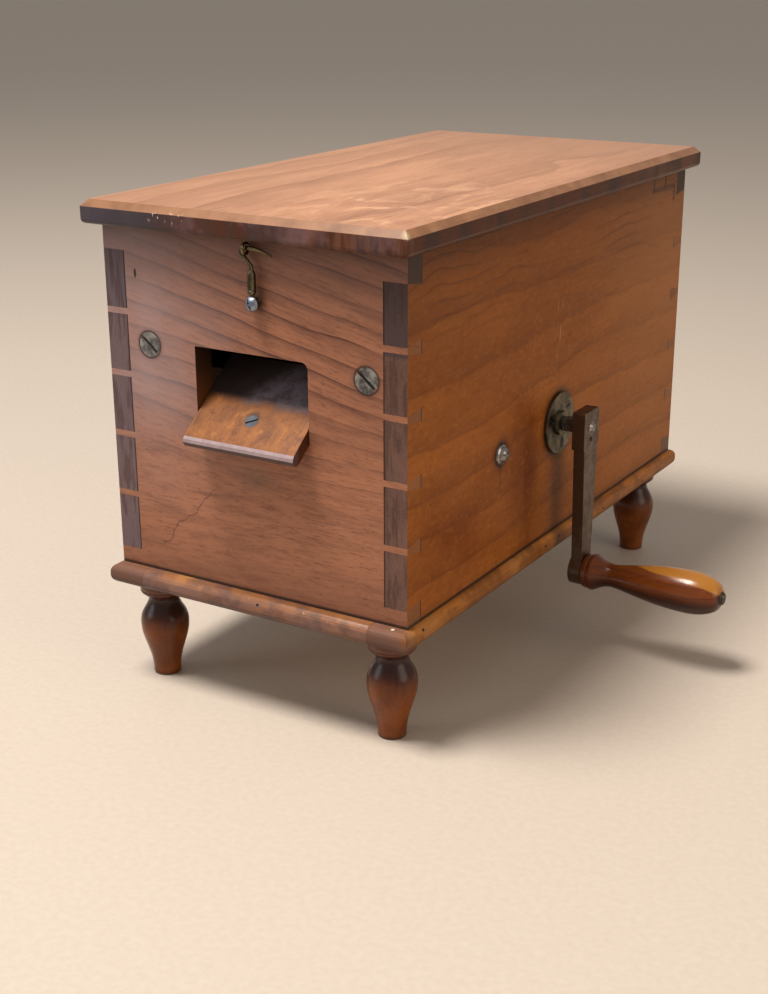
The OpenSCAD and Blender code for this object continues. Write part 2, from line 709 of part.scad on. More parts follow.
module drum_barrel() color(inner_wood) place() at_drum() difference() {
  x_cylinder(-drum_half + head_t, drum_half - head_t, drum_r);
  x_cylinder(-drum_half, drum_half, drum_r - barrel_wall);
}
module drum_head() difference() {
  x_cylinder(drum_half - head_t, drum_half, drum_r);
  x_cylinder(drum_half - head_t - 1, drum_half + 1, shaft_r);
}
module left_drum_head() color(inner_wood) place() at_drum() mirror([1, 0, 0]) drum_head();
module right_drum_head() color(inner_wood) place() at_drum() drum_head();
module drum_card_cloth() color(leather) place() at_drum() difference() {
  x_cylinder(-drum_half, drum_half, drum_r + cloth_t);
  x_cylinder(-drum_half - 1, drum_half + 1, drum_r);
}
module shaft_collars() color(brass) place() at_drum() for (side = [0, 1]) mirror([side, 0, 0])
  difference() {
    x_cylinder(inner_x - 1 - collar_w, inner_x - 1, collar_r);
    x_cylinder(inner_x - 2 - collar_w, inner_x, shaft_r);
  }

// Involute of a circle, in degrees of turn, at a pressure angle
function involute(a) = tan(a) * 180 / PI - a;
// Half of a tooth's angle at radius r
function tooth_half(n, r) = 90 / n - backlash / 2 / (gear_m * n) * 180 / PI + involute(pressure_angle)
  - involute(acos(min(1, gear_m * n / 2 * cos(pressure_angle) / r)));
// One tooth's outline, from its root round its tip
function tooth(n, turn) = let (
    root = gear_m * (n / 2 - 1.25),
    start = max(root, gear_m * n / 2 * cos(pressure_angle)),
    tip = gear_m * (n / 2 + 1),
    radii = [for (i = [0:4]) start + (tip - start) * i / 4])
  concat(
    [polar(root, turn - tooth_half(n, start))],
    [for (r = radii) polar(r, turn - tooth_half(n, r))],
    [for (i = [4:-1:0]) polar(radii[i], turn + tooth_half(n, radii[i]))],
    [polar(root, turn + tooth_half(n, start))]);
function polar(r, a) = r * [cos(a), sin(a)];
module gear(n, phase) translate([gear_x, 0, 0]) rotate([90, 0, 90]) linear_extrude(gear_w)
  polygon([for (i = [0:n - 1]) each tooth(n, 360 * (i + phase) / n)]);

// With an even number of teeth the pinion turns half a pitch, so that a gap meets the gear's tooth
module drum_pinion() color(brass) place() at_drum() difference() {
  union() {
    gear(pinion_n, (1 - pinion_n % 2) / 2);
    x_cylinder(gear_x + gear_w, -drum_half, pinion_hub_r);
  }
  x_cylinder(gear_x - 1, 0, shaft_r);
}

// ---- handle ----

module grip_spindle() color(steel) place() at_grip()
  x_cylinder(-arm_t - 1.5, grip_l + spindle_out, spindle_r);
module grip_washer() color(brass) place() at_grip() difference() {
  translate([grip_l + 0.2, 0, 0]) facing_right()
    cylinder(h = spindle_out - 0.7, r1 = grip_end_r, r2 = grip_end_r - 0.6);
  x_cylinder(grip_l - 1, grip_l + 4, spindle_r);
}
module grip() color(mahogany) place() at_grip() facing_right() difference() {
  turned(grip_line, 10);
  translate([0, 0, -1]) cylinder(h = grip_l + 2, r = spindle_r + fit);
}

// ---- licker-in ----

module licker_roller() color(inner_wood) place() at_licker() difference() {
  x_cylinder(gear_x + gear_w, drum_half + 4, licker_r);
  x_cylinder(-case_w, case_w, licker_axle_r + fit);
}
module licker_card_cloth() color(leather) place() at_licker() difference() {
  x_cylinder(-licker_half, licker_half, licker_r + cloth_t * 0.75);
  x_cylinder(-case_w, case_w, licker_r);
}
// Lightened by a recess in each face, between the hub and the rim
module licker_gear() color(brass) place() at_licker() difference() {
  gear(gear_n, 0);
  x_cylinder(-case_w, case_w, licker_axle_r + fit);
  web_recess(gear_x - 1, gear_x + (gear_w - web_t) / 2);
  web_recess(gear_x + (gear_w + web_t) / 2, gear_x + gear_w + 1);
}
module web_recess(x0, x1) difference() {
  x_cylinder(x0, x1, gear_m * gear_n / 2 - 3.5 * gear_m);
  x_cylinder(x0 - 1, x1 + 1, gear_hub_r);
}

front_board();
back_board();
left_board();
right_board();
bottom_board();
front_moulding();
back_moulding();
left_moulding();
right_moulding();
front_left_foot();
front_right_foot();
back_left_foot();
back_right_foot();
feed_tongue();
tongue_screw();
inner_chute();
chute_bar();
left_rail();
right_rail();
rail_screws();
flat_bar();
flat_card_cloth();
flat_screws();
left_bearing_plate();
right_bearing_plate();
plate_screws();
licker_axle();
axle_screws();
cup_washers();
case_hinge_leaves();
case_hinge_screws();
hinge_pins();
latch_washer();
latch_screw();
lid_board();
lid_hinge_leaves();
lid_hinge_screws();
latch_eye();
latch_hook();
crank_arm();
drum_shaft();
arm_pin();
drum_barrel();
left_drum_head();
right_drum_head();
drum_card_cloth();
drum_pinion();
shaft_collars();
grip_spindle();
grip_washer();
grip();
licker_roller();
licker_card_cloth();
licker_gear();
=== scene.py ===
"""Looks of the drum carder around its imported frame: wood, metal, card clothing, light and camera.

Everything is in metres in the row frame: X across the case towards the crank, Y from the feed
tongue at the front to the hinges at the back, Z up from the table.
"""
import json
import math
import random

import bmesh
import bpy
from mathutils import Matrix, Vector


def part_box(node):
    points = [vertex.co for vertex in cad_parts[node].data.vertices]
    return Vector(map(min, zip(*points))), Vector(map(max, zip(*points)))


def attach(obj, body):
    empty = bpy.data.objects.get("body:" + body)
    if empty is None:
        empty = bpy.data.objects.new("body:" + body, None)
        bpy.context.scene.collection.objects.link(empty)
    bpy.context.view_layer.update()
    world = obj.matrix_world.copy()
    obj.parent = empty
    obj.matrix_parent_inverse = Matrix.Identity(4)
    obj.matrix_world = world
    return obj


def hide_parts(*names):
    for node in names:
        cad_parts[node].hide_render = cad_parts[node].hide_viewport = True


MM = 0.001
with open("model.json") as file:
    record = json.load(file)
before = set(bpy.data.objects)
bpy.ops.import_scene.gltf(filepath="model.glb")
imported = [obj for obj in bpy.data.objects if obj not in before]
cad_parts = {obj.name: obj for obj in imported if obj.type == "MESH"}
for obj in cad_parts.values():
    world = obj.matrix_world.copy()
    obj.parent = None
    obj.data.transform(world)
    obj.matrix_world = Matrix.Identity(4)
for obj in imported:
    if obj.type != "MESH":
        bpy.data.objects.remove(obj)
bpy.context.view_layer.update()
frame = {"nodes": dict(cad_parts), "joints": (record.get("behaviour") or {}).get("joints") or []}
nodes = frame["nodes"]
joints = {joint["name"]: joint for joint in frame["joints"]}


# ---- places taken from the frame ----

def centre_of(node):
    """The middle of a CAD node's box."""
    low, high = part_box(node)
    return (Vector(low) + Vector(high)) / 2


LID_LOW, LID_HIGH = (Vector(corner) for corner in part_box("lid_board"))
CASE_MID = Vector(((LID_LOW.x + LID_HIGH.x) / 2, (LID_LOW.y + LID_HIGH.y) / 2, 0))
FRONT_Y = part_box("front_board")[0][1]
BACK_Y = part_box("back_board")[1][1]
RIGHT_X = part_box("right_board")[1][0]
LEFT_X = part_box("left_board")[0][0]
CASE_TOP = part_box("front_board")[1][2]
CASE_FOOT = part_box("front_board")[0][2]
DRUM_AXIS = Vector(joints["crank_turn"]["pos_m"])
LICKER_AXIS = Vector(joints["licker_spin"]["pos_m"])
GRIP_AXIS = Vector(joints["grip_spin"]["pos_m"])
HOOK_PIVOT = Vector(joints["hook_pivot"]["pos_m"])
# About the height at which the tongue passes through the front board
MOUTH_FLOOR = centre_of("feed_tongue").z
MOULDING_LOW, MOULDING_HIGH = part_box("right_moulding")[0][2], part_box("right_moulding")[1][2]
MOULDING_MID = (MOULDING_LOW + MOULDING_HIGH) / 2
MOULDING_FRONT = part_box("front_moulding")[0][1]
MOULDING_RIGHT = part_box("right_moulding")[1][0]


# ---- camera, light and floor ----

# The photograph's viewpoint, from the middle of the case on the table
CAMERA_FROM_CASE = Vector((0.4700, -0.8143, 0.4029))
CAMERA_YAW = 31.51
CAMERA_PITCH = -20.24
CAMERA_ROLL = -0.22
CAMERA_LENS = 56.38
CAMERA_SHIFT_UP = 0.0228
SENSOR_WIDTH = 36
VIEW_END = 100
FLOOR_HALF = 20
# The height above the table that the lamps are aimed at
AIM_HEIGHT = 0.15
# The lamps: name, place from the case's foot, size, watts and colour
LAMPS = (("key", (-0.42, -0.62, 2.1), 0.75, 74, (1.0, 0.97, 0.93)),
         ("window", (-1.7, -1.6, 0.9), 1.2, 10, (0.86, 0.92, 1.0)),
         ("warm fill", (1.9, -0.2, 0.8), 1.3, 11, (1.0, 0.84, 0.66)))
SKY_COLOUR = (1.0, 0.95, 0.90, 1)
SKY_STRENGTH = 0.40


def make_camera():
    data = bpy.data.cameras.new("camera")
    data.lens = CAMERA_LENS
    data.sensor_width = SENSOR_WIDTH
    data.shift_y = CAMERA_SHIFT_UP
    data.clip_end = VIEW_END
    camera = bpy.data.objects.new("camera", data)
    bpy.context.scene.collection.objects.link(camera)
    turn = (Matrix.Rotation(math.radians(CAMERA_YAW), 4, "Z")
            @ Matrix.Rotation(math.radians(90 + CAMERA_PITCH), 4, "X")
            @ Matrix.Rotation(math.radians(CAMERA_ROLL), 4, "Z"))
    camera.matrix_world = Matrix.Translation(CASE_MID + CAMERA_FROM_CASE) @ turn
    bpy.context.scene.camera = camera


def make_area_light(name, place, size, watts, colour):
    """A soft round lamp at a place from the case's foot, aimed at the middle of the case."""
    data = bpy.data.lights.new(name, "AREA")
    data.shape = "DISK"
    data.size = size
    data.energy = watts
    data.color = colour
    lamp = bpy.data.objects.new(name, data)
    bpy.context.scene.collection.objects.link(lamp)
    lamp.location = CASE_MID + Vector(place)
    aim = Vector((0, 0, AIM_HEIGHT)) - Vector(place)
    lamp.rotation_euler = aim.to_track_quat("-Z", "Y").to_euler()


def make_studio():
    for lamp in LAMPS:
        make_area_light(*lamp)
    world = bpy.data.worlds.new("world")
    world.use_nodes = True
    background = world.node_tree.nodes["Background"]
    background.inputs["Color"].default_value = SKY_COLOUR
    background.inputs["Strength"].default_value = SKY_STRENGTH
    bpy.context.scene.world = world
    bpy.context.scene.view_settings.view_transform = "Standard"


def make_floor():
    mesh = bpy.data.meshes.new("floor")
    form = bmesh.new()
    bmesh.ops.create_grid(form, x_segments=1, y_segments=1, size=FLOOR_HALF)
    form.to_mesh(mesh)
    form.free()
    floor = bpy.data.objects.new("floor", mesh)
    bpy.context.scene.collection.objects.link(floor)
    paint = Shader("floor")
    speckle = paint.noise(paint.place, 260, detail=3)
    paint.colour = paint.ramp(speckle, [(0.3, (0.45, 0.375, 0.305)), (0.7, (0.48, 0.405, 0.335))])
    paint.finish(roughness=0.55)
    floor.data.materials.append(paint.material)


# ---- shader building ----

# The colour sockets of a mix node, whose names its other kinds of sockets share
MIX_START, MIX_END, MIX_RESULT = 6, 7, 2


class Shader:
    """A material whose nodes are made by short calls that take and return sockets."""

    def __init__(self, name):
        self.material = bpy.data.materials.new(name)
        self.material.use_nodes = True
        self.tree = self.material.node_tree
        self.tree.nodes.clear()
        coordinates = self.tree.nodes.new("ShaderNodeTexCoord")
        self.place = coordinates.outputs["Object"]
        self.facing = coordinates.outputs["Normal"]
        self.colour = None

    def feed(self, socket, value):
        """Links a socket, or sets a constant on it."""
        if isinstance(value, bpy.types.NodeSocket):
            self.tree.links.new(value, socket)
        elif socket.type == "RGBA" and len(value) == 3:
            socket.default_value = (*value, 1)
        else:
            socket.default_value = value

    def math(self, operation, *values):
        node = self.tree.nodes.new("ShaderNodeMath")
        node.operation = operation
        for socket, value in zip(node.inputs, values):
            self.feed(socket, value)
        return node.outputs[0]

    def vector(self, operation, *values, scale=None):
        node = self.tree.nodes.new("ShaderNodeVectorMath")
        node.operation = operation
        for socket, value in zip(node.inputs, values):
            self.feed(socket, value)
        if scale is not None:
            self.feed(node.inputs["Scale"], scale)
        single = operation in ("DOT_PRODUCT", "LENGTH", "DISTANCE")
        return node.outputs["Value" if single else "Vector"]

    def noise(self, at, scale, detail=2, roughness=0.5, distortion=0.0, colour=False):
        node = self.tree.nodes.new("ShaderNodeTexNoise")
        self.feed(node.inputs["Vector"], at)
        node.inputs["Scale"].default_value = scale
        node.inputs["Detail"].default_value = detail
        node.inputs["Roughness"].default_value = roughness
        node.inputs["Distortion"].default_value = distortion
        return node.outputs["Color" if colour else "Fac"]

    def ramp(self, value, stops):
        node = self.tree.nodes.new("ShaderNodeValToRGB")
        band = node.color_ramp
        while len(band.elements) < len(stops):
            band.elements.new(0.5)
        for element, (position, colour) in zip(band.elements, stops):
            element.position = position
            element.color = (*colour, 1)
        self.feed(node.inputs["Fac"], value)
        return node.outputs["Color"]

    def fade(self, value, low, high, out_low=0.0, out_high=1.0):
        """Maps low..high smoothly to out_low..out_high."""
        node = self.tree.nodes.new("ShaderNodeMapRange")
        node.interpolation_type = "SMOOTHSTEP"
        self.feed(node.inputs["Value"], value)
        for name, number in (("From Min", low), ("From Max", high),
                             ("To Min", out_low), ("To Max", out_high)):
            node.inputs[name].default_value = number
        return node.outputs["Result"]

    def blend(self, start, end, *amounts):
        """Colours from start to end, by the product of the amounts."""
        node = self.tree.nodes.new("ShaderNodeMix")
        node.data_type = "RGBA"
        self.feed(node.inputs["Factor"], self.times(*amounts))
        self.feed(node.inputs[MIX_START], start)
        self.feed(node.inputs[MIX_END], end)
        return node.outputs[MIX_RESULT]

    def paint(self, tone, *amounts):
        """Paints a tone over the colour so far, by the product of the amounts."""
        self.colour = self.blend(self.colour, tone, *amounts)

    def split(self, vector):
        node = self.tree.nodes.new("ShaderNodeSeparateXYZ")
        self.feed(node.inputs[0], vector)
        return node.outputs

    def spot(self, centre, radii, edge=0.25):
        """1 inside an ellipsoid round centre, fading to 0 at its edge."""
        offset = self.vector("SUBTRACT", self.place, tuple(centre))
        scaled = self.vector("DIVIDE", offset, tuple(radii))
        return self.fade(self.vector("LENGTH", scaled), 1 - edge, 1, 1, 0)

    def ring(self, centre, axis, radius, width):
        """1 on a circle round an axis line through centre, fading to 0 within width of it."""
        offset = self.vector("SUBTRACT", self.place, tuple(centre))
        plane = tuple(0.0 if i == axis else 1.0 for i in range(3))
        from_axis = self.vector("LENGTH", self.vector("MULTIPLY", offset, plane))
        return self.fade(self.math("ABSOLUTE", self.minus(from_axis, radius)), 0, width, 1, 0)

    def band(self, value, low, high, soft):
        """1 between low and high, fading to 0 over a distance of soft outside them."""
        rise = self.fade(value, low - soft, low)
        fall = self.fade(value, high, high + soft, 1, 0)
        return self.times(rise, fall)

    def times(self, *values):
        result = values[0]
        for value in values[1:]:
            result = self.math("MULTIPLY", result, value)
        return result

    def plus(self, a, b):
        return self.math("ADD", a, b)

    def minus(self, a, b):
        return self.math("SUBTRACT", a, b)

    def patches(self, scale, low, high, out_low=0.0, out_high=1.0, **noise):
        """Soft patches of noise, mapped from low..high to out_low..out_high."""
        return self.fade(self.noise(self.place, scale, **noise), low, high, out_low, out_high)

    def drawn(self, x, y, z):
        """The place with its axes scaled, which draws a pattern out along the shrunk ones."""
        return self.vector("MULTIPLY", self.place, (x, y, z))

    def rounded_edge(self):
        """1 on the small rounds along a box's edges, where the surface faces between two axes."""
        x, y, z = self.split(self.vector("ABSOLUTE", self.facing))
        most = self.math("MAXIMUM", x, self.math("MAXIMUM", y, z))
        return self.fade(most, 0.80, 0.985, 1, 0)

    def finish(self, roughness=0.5, metallic=0.0, bump=None, bump_depth=0.0002, coat=0.0,
               coat_roughness=0.1, specular=None):
        shader = self.tree.nodes.new("ShaderNodeBsdfPrincipled")
        self.feed(shader.inputs["Base Color"], self.colour)
        self.feed(shader.inputs["Roughness"], roughness)
        self.feed(shader.inputs["Metallic"], metallic)
        shader.inputs["Coat Weight"].default_value = coat
        shader.inputs["Coat Roughness"].default_value = coat_roughness
        if specular is not None:
            shader.inputs["Specular IOR Level"].default_value = specular
        if bump is not None:
            node = self.tree.nodes.new("ShaderNodeBump")
            node.inputs["Strength"].default_value = 1.0
            node.inputs["Distance"].default_value = bump_depth
            self.feed(node.inputs["Height"], bump)
            self.tree.links.new(node.outputs["Normal"], shader.inputs["Normal"])
        output = self.tree.nodes.new("ShaderNodeOutputMaterial")
        self.tree.links.new(shader.outputs["BSDF"], output.inputs["Surface"])
        return self.material


# ---- materials ----

def scaled(colour, amount):
    """A colour made darker or brighter."""
    return tuple(min(1.0, amount * value) for value in colour)


# How sharply a growth ring ends in its dark line
RING_EDGE = 14.0


def wood(name, grain, pith, ring_gap, light, dark, end, roughness=0.42, coat=0.06, wobble=0.012,
         contrast=0.75, shading=0.3, figure=0.35, fine=1.0, marks=None, worn=0.25, specular=0.30,
         lines=None, fan=None):
    """Solid wood: rings round a pith line along the grain, fine fibres, and darker end grain.

    marks(shader, end_on) paints stains, painted light and painted shade over the wood, and end_on
    is
    1 on end grain. lines(shader) gives how strongly the rings show from place to place, and
    fan(shader) moves the place that the grain is read at.
    """
    shader = Shader(name)
    grain = Vector(grain).normalized()
    read_at = fan(shader) if fan else shader.place
    offset = shader.vector("SUBTRACT", read_at, tuple(pith))
    along = shader.vector("DOT_PRODUCT", offset, tuple(grain))
    lengthwise = shader.vector("SCALE", tuple(grain), scale=along)
    across = shader.vector("SUBTRACT", offset, lengthwise)

    def drawn_out(keep):
        """The place with its part along the grain scaled by keep."""
        return shader.vector("ADD", across, shader.vector("SCALE", lengthwise, scale=keep))

    # Growth rings: a soft shade that deepens to a thin dark line, uneven along its length
    swirl = shader.noise(drawn_out(0.4), 15, detail=3, roughness=0.5, colour=True)
    swirl = shader.vector("SCALE", shader.vector("SUBTRACT", swirl, (0.5, 0.5, 0.5)), scale=wobble)
    bent = shader.vector("ADD", across, swirl)
    bent_along = shader.vector("DOT_PRODUCT", bent, tuple(grain))
    bent = shader.vector("SUBTRACT", bent, shader.vector("SCALE", tuple(grain), scale=bent_along))
    phase = shader.math("DIVIDE", shader.vector("LENGTH", bent), ring_gap)
    ring = shader.math("FRACT", phase)
    closing = shader.fade(ring, 0.0, 0.06, 1.0, 0.0)
    line = shader.math("MAXIMUM", shader.math("POWER", ring, RING_EDGE), closing)
    uneven = shader.fade(shader.noise(drawn_out(0.35), 34, detail=2), 0.32, 0.66, 0.15, 1.0)
    shade = shader.times(shader.math("MAXIMUM", shader.math("POWER", ring, 2.6), closing), shading)
    if lines:
        strength = lines(shader)
        uneven = shader.times(uneven, strength)
        shade = shader.times(shade, strength)
    line = shader.times(line, uneven, contrast)
    inner = shader.math("FRACT", shader.times(phase, 3.7))
    inner = shader.times(shader.math("POWER", inner, 5.0), uneven, 0.30 * contrast)

    fibre = shader.noise(drawn_out(0.05), 800, detail=3, roughness=0.75)
    streak = shader.noise(drawn_out(0.07), 170, detail=4, roughness=0.65)
    pore = shader.noise(drawn_out(0.14), 1300, detail=1)
    blotch = shader.noise(drawn_out(0.3), 26, detail=4, roughness=0.6)
    fleck = shader.noise(shader.place, 210, detail=3, roughness=0.7)

    mid = tuple(0.5 * (a + b) for a, b in zip(light, dark))
    bright = scaled(light, 1.22)
    shader.colour = light
    shader.paint(bright, shader.fade(blotch, 0.42, 0.72, 0.0, figure))
    shader.paint(mid, shader.fade(blotch, 0.56, 0.30, 0.0, figure))
    shader.paint(mid, shader.fade(streak, 0.44, 0.66, 0.0, 0.55 * fine))
    shader.paint(bright, shader.fade(streak, 0.50, 0.32, 0.0, 0.30 * fine))
    shader.paint(dark, shade)
    shader.paint(dark, inner)
    shader.paint(scaled(dark, 0.8), line)
    shader.paint(dark, shader.fade(fibre, 0.50, 0.70, 0.0, 0.42 * fine))
    shader.paint(bright, shader.fade(fibre, 0.46, 0.30, 0.0, 0.30 * fine))
    shader.paint(scaled(dark, 0.6), shader.fade(pore, 0.62, 0.74, 0.0, 0.38 * fine))
    shader.paint(dark, shader.fade(fleck, 0.56, 0.78, 0.0, 0.20))
    end_on = shader.math("ABSOLUTE", shader.vector("DOT_PRODUCT", shader.facing, tuple(grain)))
    end_on = shader.fade(end_on, 0.75, 0.95)
    end_ring = shader.fade(line, 0.05, 0.5, 0.0, 0.55)
    end_tone = shader.blend(end, scaled(end, 0.5), end_ring)
    pores = shader.noise(shader.place, 1100, detail=2)
    end_tone = shader.blend(end_tone, scaled(end, 0.4), shader.fade(pores, 0.46, 0.68, 0.0, 0.45))
    end_tone = shader.blend(end_tone, scaled(end, 1.5), shader.fade(blotch, 0.4, 0.7, 0.0, 0.5))
    shader.paint(end_tone, end_on)
    if worn:
        rub = shader.patches(90, 0.35, 0.65, detail=3)
        shader.paint(scaled(light, 1.7), shader.rounded_edge(), rub, worn)
    if marks:
        marks(shader, end_on)

    relief = shader.plus(shader.times(fibre, 0.6), shader.times(line, -0.5))
    relief = shader.plus(relief, shader.times(fleck, 0.5))
    gloss = shader.fade(fibre, 0.3, 0.8, roughness - 0.05, roughness + 0.14)
    return shader.finish(roughness=gloss, bump=relief, bump_depth=0.00007, coat=coat,
                         coat_roughness=0.25, specular=specular)


def metal(name, clean, tarnish, roughness=0.38, grime=0.5, metallic=1.0, pitted=0.00006,
          crust=None):
    """Aged metal: a worn surface between a clean and a tarnished tone, with fine pits."""
    shader = Shader(name)
    cloud = shader.noise(shader.place, 150, detail=5, roughness=0.65)
    fine = shader.noise(shader.place, 1300, detail=3, roughness=0.65)
    amount = shader.fade(cloud, 0.36, 0.62, 1 - grime, 1.0)
    shader.colour = clean
    shader.paint(tarnish, amount)
    shader.paint(scaled(tarnish, 0.5), shader.fade(fine, 0.48, 0.72, 0.0, 0.3))
    shader.paint(scaled(clean, 1.35), shader.rounded_edge(), 0.5)
    if crust:
        shader.paint(crust, shader.patches(75, 0.53, 0.63, detail=5, roughness=0.7), 0.5)
    rough = shader.fade(cloud, 0.3, 0.7, roughness - 0.08, roughness + 0.16)
    relief = shader.plus(shader.times(fine, 0.5), cloud)
    return shader.finish(roughness=rough, metallic=metallic, bump=relief, bump_depth=pitted)


# ---- dressing the CAD nodes ----

WELD_GAP = 0.01 * MM
FLAT_ANGLE = 0.3
EDGE_ANGLE = 30
FINE_EDGE, ROUND_EDGE = 0.4 * MM, 0.6 * MM


def dress(material, *names):
    """Gives CAD nodes a material."""
    for name in names:
        mesh = nodes[name].data
        mesh.materials.clear()
        mesh.materials.append(material)


def soften(width, segments, *names):
    """Rounds the edges of CAD nodes a little, after joining the faces that lie in one plane."""
    for name in names:
        item = nodes[name]
        weld = item.modifiers.new("weld", "WELD")
        weld.merge_threshold = WELD_GAP
        flat = item.modifiers.new("flat", "DECIMATE")
        flat.decimate_type = "DISSOLVE"
        flat.angle_limit = math.radians(FLAT_ANGLE)
        round_off = item.modifiers.new("round_off", "BEVEL")
        round_off.width = width
        round_off.segments = segments
        round_off.limit_method = "ANGLE"
        round_off.angle_limit = math.radians(EDGE_ANGLE)


# ---- marks, painted light and painted shade on the wood ----

FRONT_LIGHT = (0.310, 0.125, 0.066)
FRONT_DARK = (0.075, 0.027, 0.020)
TAIL_END = (0.126, 0.066, 0.050)
GRIME_AND_SHADE = (0.022, 0.014, 0.012)
DARK_LINE = (0.050, 0.020, 0.012)
JOINT_LINE = 0.0011
HAIRLINE = 0.0006


def head_centre(node, face_y, right):
    """The middle and radius of a fastener's head in a face at face_y, on the right or the left."""
    spots = [vertex.co for vertex in nodes[node].data.vertices
             if abs(vertex.co.y - face_y) < MM and (vertex.co.x > CASE_MID.x) == right]
    low = Vector(tuple(min(spot[i] for spot in spots) for i in range(3)))
    high = Vector(tuple(max(spot[i] for spot in spots) for i in range(3)))
    return (low + high) / 2, (high.x - low.x) / 2


def lid_and_base_shade(shader, z):
    """Painted shade under the lid, a painted shadow line in the joint above the base, and a darker
    band along the foot.
    """
    rag = shader.patches(120, 0.3, 0.7, 0.3, 1.0, detail=3)
    # A painted shadow line in the joint above the base, and a darker band along the foot
    foot = shader.fade(z, CASE_FOOT + JOINT_LINE, CASE_FOOT + 2.2 * JOINT_LINE, 1, 0)
    shader.paint(GRIME_AND_SHADE, foot, 0.9)
    shader.paint(GRIME_AND_SHADE, shader.fade(z, CASE_FOOT, CASE_FOOT + 0.007, 1, 0), rag, 0.22)
    # Painted shade under the lid's overhang
    shader.paint(GRIME_AND_SHADE, shader.fade(z, CASE_TOP - 0.022, CASE_TOP, 0, 1), 0.42)


def front_lines(shader):
    """The front's rings fade out below the feed opening."""
    z = shader.split(shader.place)[2]
    return shader.fade(z, CASE_FOOT + 0.055, CASE_FOOT + 0.105, 0.16, 1.0)


def front_fan(shader):
    """The front's fibres slope at the top and lie level near the foot."""
    x, _, z = shader.split(shader.place)
    level = shader.fade(z, CASE_FOOT + 0.030, CASE_FOOT + 0.130, -0.26, 0.0)
    lift = shader.times(shader.minus(x, CASE_MID.x), level)
    return shader.vector("ADD", shader.place, shader.vector("SCALE", (0.0, 0.0, 1.0), scale=lift))


def front_marks(shader, end_on):
    """Stains, rims, a crack, a painted grey sheen, and painted shade under the lid and on the
    cheeks of the feed opening.
    """
    x, _, z = shader.split(shader.place)
    face = shader.minus(1.0, end_on)
    # A painted grey sheen towards the upper left, painted shade under the lid, and browner along
    # the foot
    left = shader.fade(x, LEFT_X, CASE_MID.x + 0.02, 1, 0)
    high = shader.fade(z, CASE_FOOT + 0.020, CASE_FOOT + 0.150)
    cloudy = shader.patches(24, 0.3, 0.7, 0.5, 1.0, detail=3)
    shader.paint((0.37, 0.295, 0.310), left, high, cloudy, face, 0.72)
    # Painted shade under the lid
    lid_shade = shader.times(shader.fade(z, CASE_TOP - 0.050, CASE_TOP - 0.010), face, 0.35)
    shader.paint((0.150, 0.085, 0.075), lid_shade)
    low = shader.times(shader.fade(z, CASE_FOOT, CASE_FOOT + 0.045, 1, 0), face, 0.35)
    shader.paint((0.16, 0.060, 0.030), low)
    # Painted shade on the cheeks of the feed opening, nearly black above, with a little painted
    # warm light below
    sideways = shader.math("ABSOLUTE", shader.split(shader.facing)[0])
    away_from_sides = shader.band(x, LEFT_X + 0.04, RIGHT_X - 0.04, 0.002)
    inner = shader.blend((0.110, 0.036, 0.014), (0.022, 0.012, 0.008),
                         shader.fade(z, MOUTH_FLOOR + 0.002, MOUTH_FLOOR + 0.026))
    shader.paint(inner, shader.fade(sideways, 0.6, 0.8), away_from_sides, 0.92)
    lid_and_base_shade(shader, z)
    # Dark rims round the big screws, and the stain round the latch screw
    for right_side in (False, True):
        centre, radius = head_centre("rail_screws", FRONT_Y, right_side)
        shader.paint(GRIME_AND_SHADE, shader.ring(centre, 1, radius + 0.0004, 0.0012), 0.85)
        shader.paint(GRIME_AND_SHADE, shader.ring(centre, 1, radius, 0.004), 0.25)
    latch = Vector((HOOK_PIVOT.x, FRONT_Y, HOOK_PIVOT.z))
    shader.paint(GRIME_AND_SHADE, shader.spot(latch, (0.008, 0.004, 0.009), 0.7), 0.45)
    # A worm slit, a fine crack, and a smudge under the tongue
    slit = Vector((CASE_MID.x - 0.0742, FRONT_Y, CASE_TOP - 0.0255))
    shader.paint(GRIME_AND_SHADE, shader.spot(slit, (0.0010, 0.002, 0.0030), 0.3), 0.95)
    smudge = Vector((CASE_MID.x + 0.002, FRONT_Y, CASE_FOOT + 0.066))
    blur = shader.patches(60, 0.35, 0.65, 0.2, 1.0, detail=3)
    shader.paint((0.11, 0.085, 0.05), shader.spot(smudge, (0.022, 0.01, 0.012), 0.9), blur, 0.35)
    wander = shader.minus(shader.noise(shader.place, 42, detail=5), 0.5)
    rise = shader.minus(z, CASE_FOOT + 0.034)
    across = shader.minus(shader.minus(x, CASE_MID.x - 0.052), shader.times(rise, 0.84))
    apart = shader.math("ABSOLUTE", shader.plus(across, shader.times(wander, 0.034)))
    reach = shader.band(z, CASE_FOOT + 0.020, CASE_FOOT + 0.050, 0.010)
    shader.paint(FRONT_DARK, shader.fade(apart, 0.0002, 0.0009, 1, 0), reach, face, 0.6)


